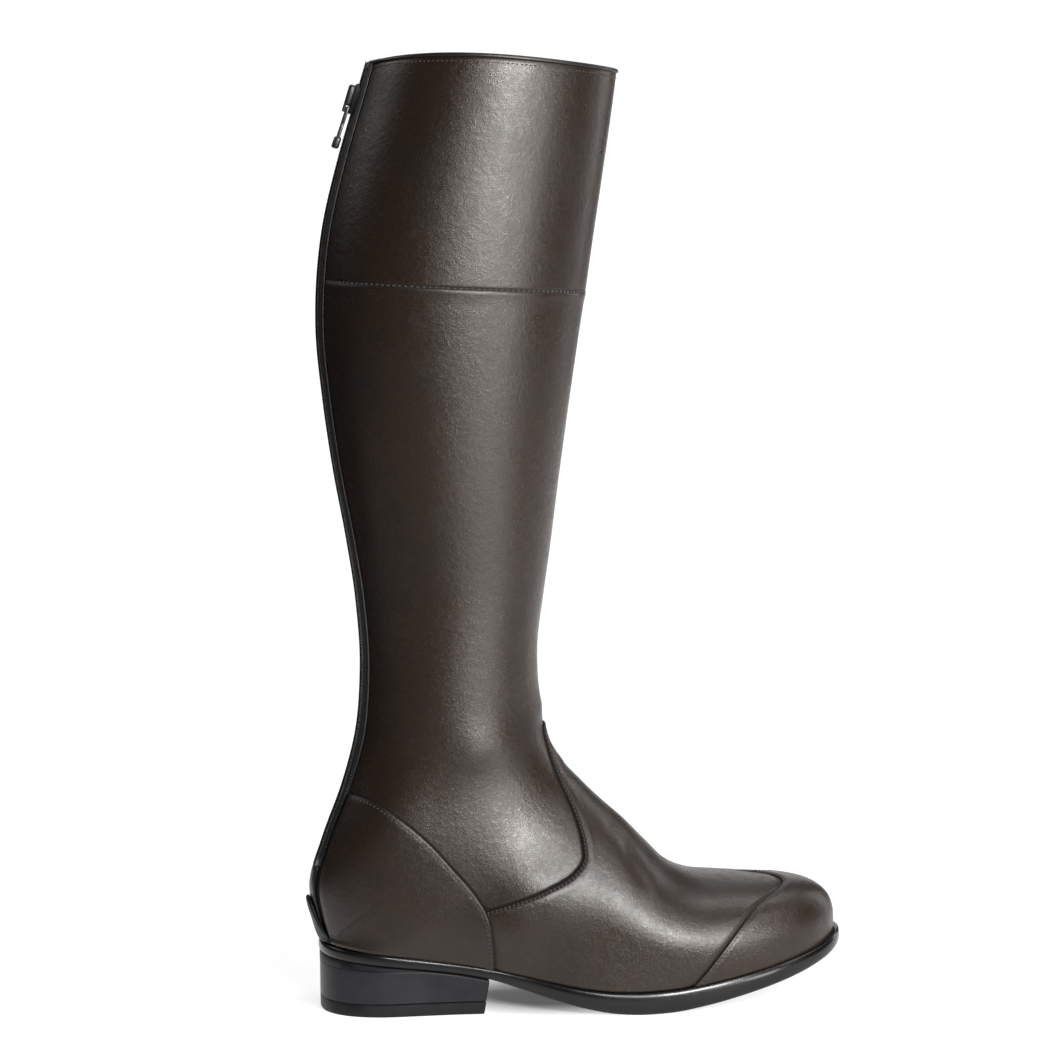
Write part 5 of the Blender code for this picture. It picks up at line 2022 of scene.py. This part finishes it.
@dataclass
class BackZip(BeadRow):
    """The zip up the back: facings, tape, chain and teeth."""

    inner: float = 4.2
    outer: float = 11.5
    facing: float = 1.3
    tape_half: float = 12.0
    tape_depth: float = 3.4
    tape_thick: float = 0.8
    chain_half: float = 2.6
    chain_top: float = 0.6
    foot_share: float = 0.66
    foot_reach: float = 46.0
    pitch: float = 1.7
    tooth_sink: float = 0.55
    facing_mid: float = 7.8
    foot_mid: float = 5.0
    tape_mid: float = 6.0
    tape_end: float = 8.0
    tooth_cells: tuple[int, int] = (8, 4)

    def strip(self, stations: np.ndarray, profile: Sequence[tuple[float, float]],
              narrow: bool = False) -> tuple[np.ndarray, list]:
        """Draws a closed strip up the back.

        Args:
            stations: Stations of its rows.
            profile: Its outline across, as offsets and heights.
            narrow: Whether it narrows toward the foot of the zip.

        Returns:
            Points and faces.
        """
        offsets = sorted({round(offset, 4) for offset, _ in profile})
        grid, out = self.last.back_grid(stations, offsets)
        if narrow:
            slim, lean = self.last.back_grid(stations, [offset * self.foot_share for offset in offsets])
            share = eased(np.asarray(stations), self.last.zip_open, self.last.zip_open + self.foot_reach)[:, None, None]
            grid, out = grid * share + slim * (1 - share), out * share + lean * (1 - share)
        place = {offset: k for k, offset in enumerate(offsets)}
        loops = []
        for i in range(len(stations)):
            loop = []
            for offset, height in profile:
                k = place[round(offset, 4)]
                loop.append(grid[i, k] + out[i, k] * height)
            loops.append(np.array(loop))
        return loft(loops, around=False, ends=True)

    def build(self, stitches: StitchRows) -> None:
        """Makes the facings, the tape and the teeth.

        Args:
            stitches: The stitch maker.
        """
        last = self.last
        top = last.stations[-1]
        rows = last.stations_between(last.zip_open, top, 3.0)
        h = self.facing
        outer = [(self.outer - 1.0, h), (self.outer - 0.35, h - 0.15), (self.outer, h - 0.5), (self.outer, -0.1)]
        half = [(self.inner, -0.1), (self.inner, h - 0.45), (self.inner + 0.35, h - 0.1), (self.inner + 0.9, h),
                (self.facing_mid, h + 0.1)] + outer + [(self.facing_mid, -0.1)]
        parts = [self.strip(rows, [(sign * offset, height) for offset, height in half], True) for sign in (-1, 1)]
        half = [(0.0, h), (self.foot_mid, h)] + outer + [(self.foot_mid, -0.1)]
        profile = half + [(0.0, -0.1)] + [(-o, z) for o, z in half[::-1][:-1]]
        parts.append(self.strip(last.stations_between("heel_back", last.zip_open, 2.0), profile, True))
        piece = to_object("zip_facing_strip", *joined(parts), self.finishes.trim)
        self.seat(piece, "trim", "zip_facing")
        grid, out = last.back_grid(rows, [-self.outer + 1.5, self.outer - 1.5])
        lines = [(grid[:, k] + out[:, k] * (h + 0.1), out[:, k]) for k in range(2)]
        stitches.sew("zip_facing_stitches", lines, self.finishes.black_thread, "trim", 1.9, 1.35, 0.45)

        rows = last.stations_between(last.zip_open + 1, top - self.tape_end, 3.0)
        d, t = -self.tape_depth, self.tape_thick
        half = [-self.tape_half, -self.tape_mid, 0.0, self.tape_mid, self.tape_half]
        profile = [(o, d) for o in half] + [(o, d - t) for o in half[::-1]]
        made, cells = self.strip(rows, profile)
        self.seat(to_object("zip_tape_weave", made, cells, self.finishes.tape), "zip_cloth", "zip_tape")
        w, c = self.chain_half, self.chain_top
        profile = [(-w, c - 1.0), (-0.5, c - 0.75), (0.5, c - 0.75), (w, c - 1.0), (w, d + GAP), (-w, d + GAP)]
        made, cells = self.strip(rows, profile)
        self.seat(to_object("zip_core", made, cells, self.finishes.tape), "zip_metal", "zip_chain")
        self._teeth(rows)

    def _teeth(self, rows: np.ndarray) -> None:
        """Lays the two rows of teeth along the chain.

        Args:
            rows: Stations of the chain.
        """
        g, source, ids, spaced = self.start_tree("zip teeth", ("Pitch", "Reach", "Width", "Length", "Height"))
        odd = g.sum("MODULO", g.node("GeometryNodeInputIndex").outputs[0], 2.0)
        sign = g.ranged(odd, 0.0, 1.0, -1.0, 1.0)
        shift = g.node("ShaderNodeCombineXYZ", None, {"Y": g.sum("MULTIPLY", sign, source.outputs["Reach"])})
        moved = g.node("GeometryNodeSetPosition", None, {"Geometry": spaced.outputs[0], "Offset": shift.outputs[0]})
        self.end_tree(g, source, moved, self.turned(g, "Z", "X"), self.tooth_cells, ("Length", "Width", "Height"))
        grid, out = self.last.back_grid(rows, [-1.0, 0.0, 1.0])
        line = grid[:, 1] + out[:, 1] * (self.chain_top - self.tooth_sink)
        sizes = {"Pitch": self.pitch / 2, "Reach": 1.15, "Width": 3.0, "Length": 1.25, "Height": 1.5}
        values = {ids[label]: value * MM for label, value in sizes.items()} | {ids["Finish"]: self.finishes.metal}
        self.lay("zip_teeth", [(line, out[:, 1])], g.tree, values, "zip_metal")


@dataclass
class Slider(Boot):
    """The zip's slider with its bail, and the pull that swings on it."""

    back_z: float = 451.8
    long: float = 15.4
    wide: float = 8.6
    plate: float = 1.3
    bail_wide: float = 2.2
    bail_thick: float = 1.3
    bail_clear: float = 2.1
    axis_up: float = -5.1
    bar: float = 0.6
    pull_wide: float = 6.2
    window: float = 3.4
    pull_open: float = 8.0
    pull_long: float = 20.8
    pull_thick: float = 0.9
    grip_long: float = 6.0
    grip_thick: float = 3.2

    def frame(self) -> Matrix:
        """Places the slider on the back.

        Returns:
            Its frame: out from the leather, across, and up along it.
        """
        last = self.last

        def at(height: float) -> Vector:
            """Finds the middle of the back.

            Args:
                height: The height.

            Returns:
                The place there.
            """
            station = last.station_at_back(height)
            x, z = (float(last.tracks[name].at(station)) for name in ("end_x", "end_z"))
            return Vector((x - CENTRE_X, 0, z))

        rising = (at(self.back_z + 4) - at(self.back_z - 24)).normalized()
        across = Vector((0, 1, 0))
        out = across.cross(rising)
        if out.x > 0:
            out = -out
        across = rising.cross(out)
        frame = Matrix((out, across, rising)).transposed().to_4x4()
        frame.translation = at(self.back_z)
        return frame

    def solid(self, name: str, frame: Matrix, boxes: Sequence[tuple], slot: str, node: str) -> None:
        """Joins rounded blocks into one small casting.

        Args:
            name: The piece's name.
            frame: The frame that the blocks are given in.
            boxes: Each block's low and high out, width, low and high up, shift across and edge rounding.
            slot: The record's material slot.
            node: The solid that it stands for.
        """
        bm = bmesh.new()
        for low, high, wide, up_low, up_high, shift, soft in boxes:
            part = bmesh.new()
            size = Matrix.Diagonal((high - low, wide, up_high - up_low, 1))
            middle = Matrix.Translation(((low + high) / 2, shift, (up_low + up_high) / 2))
            bmesh.ops.create_cube(part, size=1.0, matrix=middle @ size)
            bmesh.ops.bevel(part, geom=part.edges[:], offset=soft, segments=4, profile=0.5, affect="EDGES")
            mesh = bpy.data.meshes.new("block")
            part.to_mesh(mesh)
            part.free()
            bm.from_mesh(mesh)
            bpy.data.meshes.remove(mesh)
        bm.transform(Matrix.Scale(MM, 4) @ frame)
        mesh = bpy.data.meshes.new(name)
        bm.to_mesh(mesh)
        bm.free()
        mesh.materials.append(self.finishes.metal)
        mesh.shade_smooth()
        made = bpy.data.objects.new(name, mesh)
        bpy.context.scene.collection.objects.link(made)
        LOG.info("%s: %d faces", name, len(mesh.polygons))
        self.seat(made, slot, node)

    def build(self) -> None:
        """Makes the slider and the pull."""
        frame = self.frame()
        half = self.long / 2
        low = GAP + 1.0 + GAP
        top = low + self.plate
        bail = top + self.bail_clear
        foot = self.axis_up - self.bar - 0.5
        thick = self.bail_thick
        self.solid("zip_slider_body", frame, [
            (low, top, self.wide, -half, half, 0, 0.55),
            (0.9, low + 0.4, 7.4, -half + 1, half - 1, 0, 0.3),
            (top - 0.3, top + 0.5, self.wide * 0.55, -half + 2, half - 1, 0, 0.38),
            (bail, bail + thick, self.bail_wide, foot - thick, half - 2, 0, 0.5),
            (top - 0.4, bail + 0.6, self.bail_wide, foot - thick, foot, 0, 0.45),
            (top - 0.4, bail + 1.2, self.bail_wide + 0.8, self.axis_up + 1.0, half - 1.2, 0, 1.2),
        ], "zip_metal", "zip_slider")
        axis_out = top + self.bail_clear / 2
        lean = math.atan2(axis_out - (low + self.grip_thick / 2 + 0.2), self.pull_long - self.grip_long / 2)
        hinge = frame @ Matrix.Translation((axis_out, 0, self.axis_up)) @ Matrix.Rotation(-lean, 4, "Y")
        arm = (self.pull_wide - self.window) / 2
        arm_y = (self.window + arm) / 2
        flat = self.pull_thick / 2 + 0.2
        self.body = "zip_pull"
        self.solid("zip_pull_tab", hinge, [
            (-flat, flat, self.pull_wide, -self.pull_long + 1, -self.pull_open, 0, 0.3),
            (-flat, flat, arm, -self.pull_open - 0.8, self.bar, -arm_y, 0.35),
            (-flat, flat, arm, -self.pull_open - 0.8, self.bar, arm_y, 0.35),
            (-self.bar, self.bar, self.pull_wide - 0.3, -self.bar, self.bar, 0, 0.4),
            (-self.grip_thick / 2, self.grip_thick / 2, self.pull_wide + 0.8, -self.pull_long,
             -self.pull_long + self.grip_long, 0, 1.1),
        ], "zip_metal", "zip_pull")


@dataclass
class CollarBinding(Boot):
    """The thin dark edging folded over the collar."""

    depth: float = 1.1
    thick: float = 0.5
    columns: int = 150

    def build(self) -> None:
        """Makes the edging."""
        last = self.last
        end = last.stations[-1]
        rows = []
        for station in (end - 3.0, end):
            line = last.section(station)
            runs = run_lengths(line)
            rows.append(read_line(line, runs, np.linspace(last.slit_half, runs[-1] - last.slit_half, self.columns + 1)))
        top = rows[1]
        rising = top - rows[0]
        rising /= np.linalg.norm(rising, axis=1, keepdims=True)
        out = np.cross(np.gradient(top, axis=0), rising)
        out /= np.linalg.norm(out, axis=1, keepdims=True)
        outer = GAP + self.thick
        inner = -WALL - GAP - self.thick
        crown = GAP + self.thick
        profile = [(-self.depth, outer - 0.45), (-self.depth + 0.25, outer - 0.05), (-0.6, outer), (0.35, outer - 0.12),
                   (crown - 0.15, outer - 0.5), (crown, outer - 1.1), (crown, inner + 1.1), (crown - 0.15, inner + 0.5),
                   (0.35, inner + 0.12), (-0.6, inner), (-self.depth + 0.25, inner + 0.05), (-self.depth, inner + 0.5),
                   (-self.depth, -WALL + 0.3), (-self.depth, -0.3)]
        loops = [np.stack([top[i] + rising[i] * up + out[i] * away for up, away in profile]) for i in range(len(top))]
        points, faces = loft(loops, around=False, ends=True)
        self.seat(to_object("collar_edging", points, faces, self.finishes.trim), "trim", "collar_binding")


class LightRow(NamedTuple):
    """A soft light: its place and what it faces, in metres, its size and its power."""

    name: str
    place: tuple[float, float, float]
    target: tuple[float, float, float]
    wide: float
    tall: float
    watts: float


@dataclass
class Studio:
    """The pale floor, the soft lights and the camera."""

    place: tuple[float, float, float] = (-0.35505, -1.86214, 0.42750)
    pitch_deg: float = 90 - 5.621
    turn_deg: float = -10.0
    focal_px: float = 3800.0
    image_px: float = 1048.0
    sensor: float = 36.0
    world_light: float = 0.04
    floor_x: tuple[float, float] = (-1.5, 1.4)
    floor_y: tuple[float, float] = (-1.5, 1.6)
    sweep: float = 1.2
    wall_top: float = 5.0
    # glow of the floor, a painted pool of light round the boot
    floor_glow: float = 0.74
    left_fade: tuple[float, float] = (-0.46, -0.31)
    front_fade: tuple[float, float] = (-0.22, -0.105)
    front_slope: float = 0.176
    # place and size of the painted shadow under the arch
    arch_shadow_middle: tuple[float, float] = (-0.008, 0.012)
    arch_shadow_half: tuple[float, float] = (0.062, 0.05)
    lights: tuple[LightRow, ...] = (
        LightRow("key", (0.687, -1.771, 0.720), BOOT_MIDDLE, 0.45, 0.45, 47.0),
        LightRow("front", (0.106, -1.897, 1.000), BOOT_MIDDLE, 0.40, 0.45, 15.0),
        LightRow("low front", (0.927, -1.659, 0.300), BOOT_MIDDLE, 0.35, 0.35, 2.5),
        LightRow("high front", (0.927, -1.659, 1.600), BOOT_MIDDLE, 0.40, 0.60, 9.8),
        LightRow("low right", (1.252, -1.430, 0.200), BOOT_MIDDLE, 0.40, 0.40, 8.0),
        LightRow("high right", (1.560, -1.084, 1.600), BOOT_MIDDLE, 0.40, 0.60, 5.5),
        LightRow("floor board", (0.463, -0.829, 0.045), (0.444, -0.794, 1.045), 0.42, 1.30, 5.4),
        LightRow("overhead right", (1.000, 0.200, 2.200), (0.800, 0.160, 0.000), 0.80, 0.80, 13.4),
        LightRow("overhead back", (0.000, 1.200, 2.200), (0.000, 0.960, 0.000), 0.80, 0.80, 8.7),
        LightRow("right rim", (1.733, 0.779, 0.800), BOOT_MIDDLE, 0.45, 1.50, 7.6),
        LightRow("left rim", (-1.770, 0.690, 1.450), (0.000, 0.000, 0.300), 1.50, 0.70, 8.0),
    )

    def build(self) -> None:
        """Sets up the camera, the floor and the lights."""
        scene = bpy.context.scene
        camera = bpy.data.cameras.new("camera")
        camera.sensor_width = self.sensor
        camera.lens = self.sensor * self.focal_px / self.image_px
        holder = bpy.data.objects.new("camera", camera)
        holder.location = self.place
        holder.rotation_euler = (math.radians(self.pitch_deg), 0, math.radians(self.turn_deg))
        scene.collection.objects.link(holder)
        scene.camera = holder
        scene.view_settings.view_transform = "Standard"
        self._floor()
        for row in self.lights:
            light = bpy.data.lights.new(row.name, "AREA")
            light.shape = "RECTANGLE"
            light.size = row.wide
            light.size_y = row.tall
            light.energy = row.watts
            lamp = bpy.data.objects.new(row.name, light)
            lamp.location = row.place
            lamp.rotation_euler = (Vector(row.target) - Vector(row.place)).to_track_quat("-Z", "Y").to_euler()
            scene.collection.objects.link(lamp)
        world = bpy.data.worlds.new("studio")
        world.use_nodes = True
        back = world.node_tree.nodes["Background"]
        back.inputs["Color"].default_value = grey(1.0)
        back.inputs["Strength"].default_value = self.world_light
        scene.world = world

    def _floor(self) -> None:
        """Makes a pale floor that sweeps up behind the boot."""
        front, back = self.floor_y
        profile = [(front, 0.0), (back, 0.0)]
        profile += [(back + self.sweep * math.sin(a), self.sweep - self.sweep * math.cos(a))
                    for a in np.linspace(0.1, math.pi / 2, 14)]
        profile.append((back + self.sweep, self.wall_top))
        mesh = bpy.data.meshes.new("floor")
        mesh.from_pydata([(x, y, z) for y, z in profile for x in self.floor_x], [],
                         [(2 * i, 2 * i + 1, 2 * i + 3, 2 * i + 2) for i in range(len(profile) - 1)])
        mesh.shade_smooth()
        mesh.materials.append(self._floor_finish())
        floor = bpy.data.objects.new("floor", mesh)
        bpy.context.scene.collection.objects.link(floor)

    def _floor_finish(self) -> bpy.types.Material:
        """Makes the floor's finish: pale and glowing round the boot as a painted pool of light that fades dark outside
        the view, with a painted shadow under the arch.

        Returns:
            The material.
        """
        g, shader, place = blank_material("pale floor")
        along = g.node("ShaderNodeSeparateXYZ", None, {"Vector": place})
        x, y = along.outputs["X"], along.outputs["Y"]
        # painted pool of light: colour and glow fade to dark beside and in front of the view
        beside = g.ranged(x, *self.left_fade, 0.0, 1.0)
        behind = g.ranged(g.plus(y, x, self.front_slope), *self.front_fade, 0.0, 1.0)
        painted_light_pool = g.sum("MAXIMUM", beside, g.sum("SUBTRACT", 1.0, behind))
        white = g.mix(g.noise(place, 3.0, 3.0).outputs["Fac"], grey(0.41), grey(0.43))
        pale = g.sum("MULTIPLY", painted_light_pool, g.ranged(behind, 0.0, 1.0, 0.2, 1.0))
        lit = g.sum("MULTIPLY", painted_light_pool, g.ranged(behind, 0.0, 1.0, 0.3, 1.0))
        # painted shadow: the glow drops under the arch
        offs = [g.sum("POWER", g.sum("DIVIDE", g.sum("SUBTRACT", value, middle), half), 2.0)
                for value, middle, half in zip((x, y), self.arch_shadow_middle, self.arch_shadow_half)]
        lit = g.sum("MULTIPLY", lit, g.ranged(g.sum("ADD", *offs), 0.3, 1.2, 0.15, 1.0))
        g.fill(shader, {"Base Color": g.mix(pale, grey(0.05), white),
                        "Emission Color": g.mix(lit, grey(0.0), grey(1.0)), "Roughness": 0.9,
                        "Specular IOR Level": 0.0, "Emission Strength": self.floor_glow})
        return bpy.data.materials["pale floor"]


def main() -> None:
    """Builds the studio and the boot's pieces in order."""
    logging.basicConfig(level=logging.INFO, format="%(name)s %(message)s")
    for thing in list(bpy.data.objects):
        bpy.data.objects.remove(thing, do_unlink=True)
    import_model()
    Studio().build()
    last = Last()
    finishes = Finishes()
    stitches = StitchRows(last, finishes)
    Upper(last, finishes).build(stitches, [VAMP_OUTLINE, COUNTER_OUTLINE])
    Vamp(last, finishes).build(stitches)
    ToeCap(last, finishes).build(stitches)
    for side in Side:
        Counter(last, finishes, side).build(stitches)
    SpurRest(last, finishes).build(stitches)
    Sole(last, finishes).build()
    BackZip(last, finishes).build(stitches)
    CollarBinding(last, finishes).build()
    Slider(last, finishes).build()


if __name__ == "__main__":
    main()
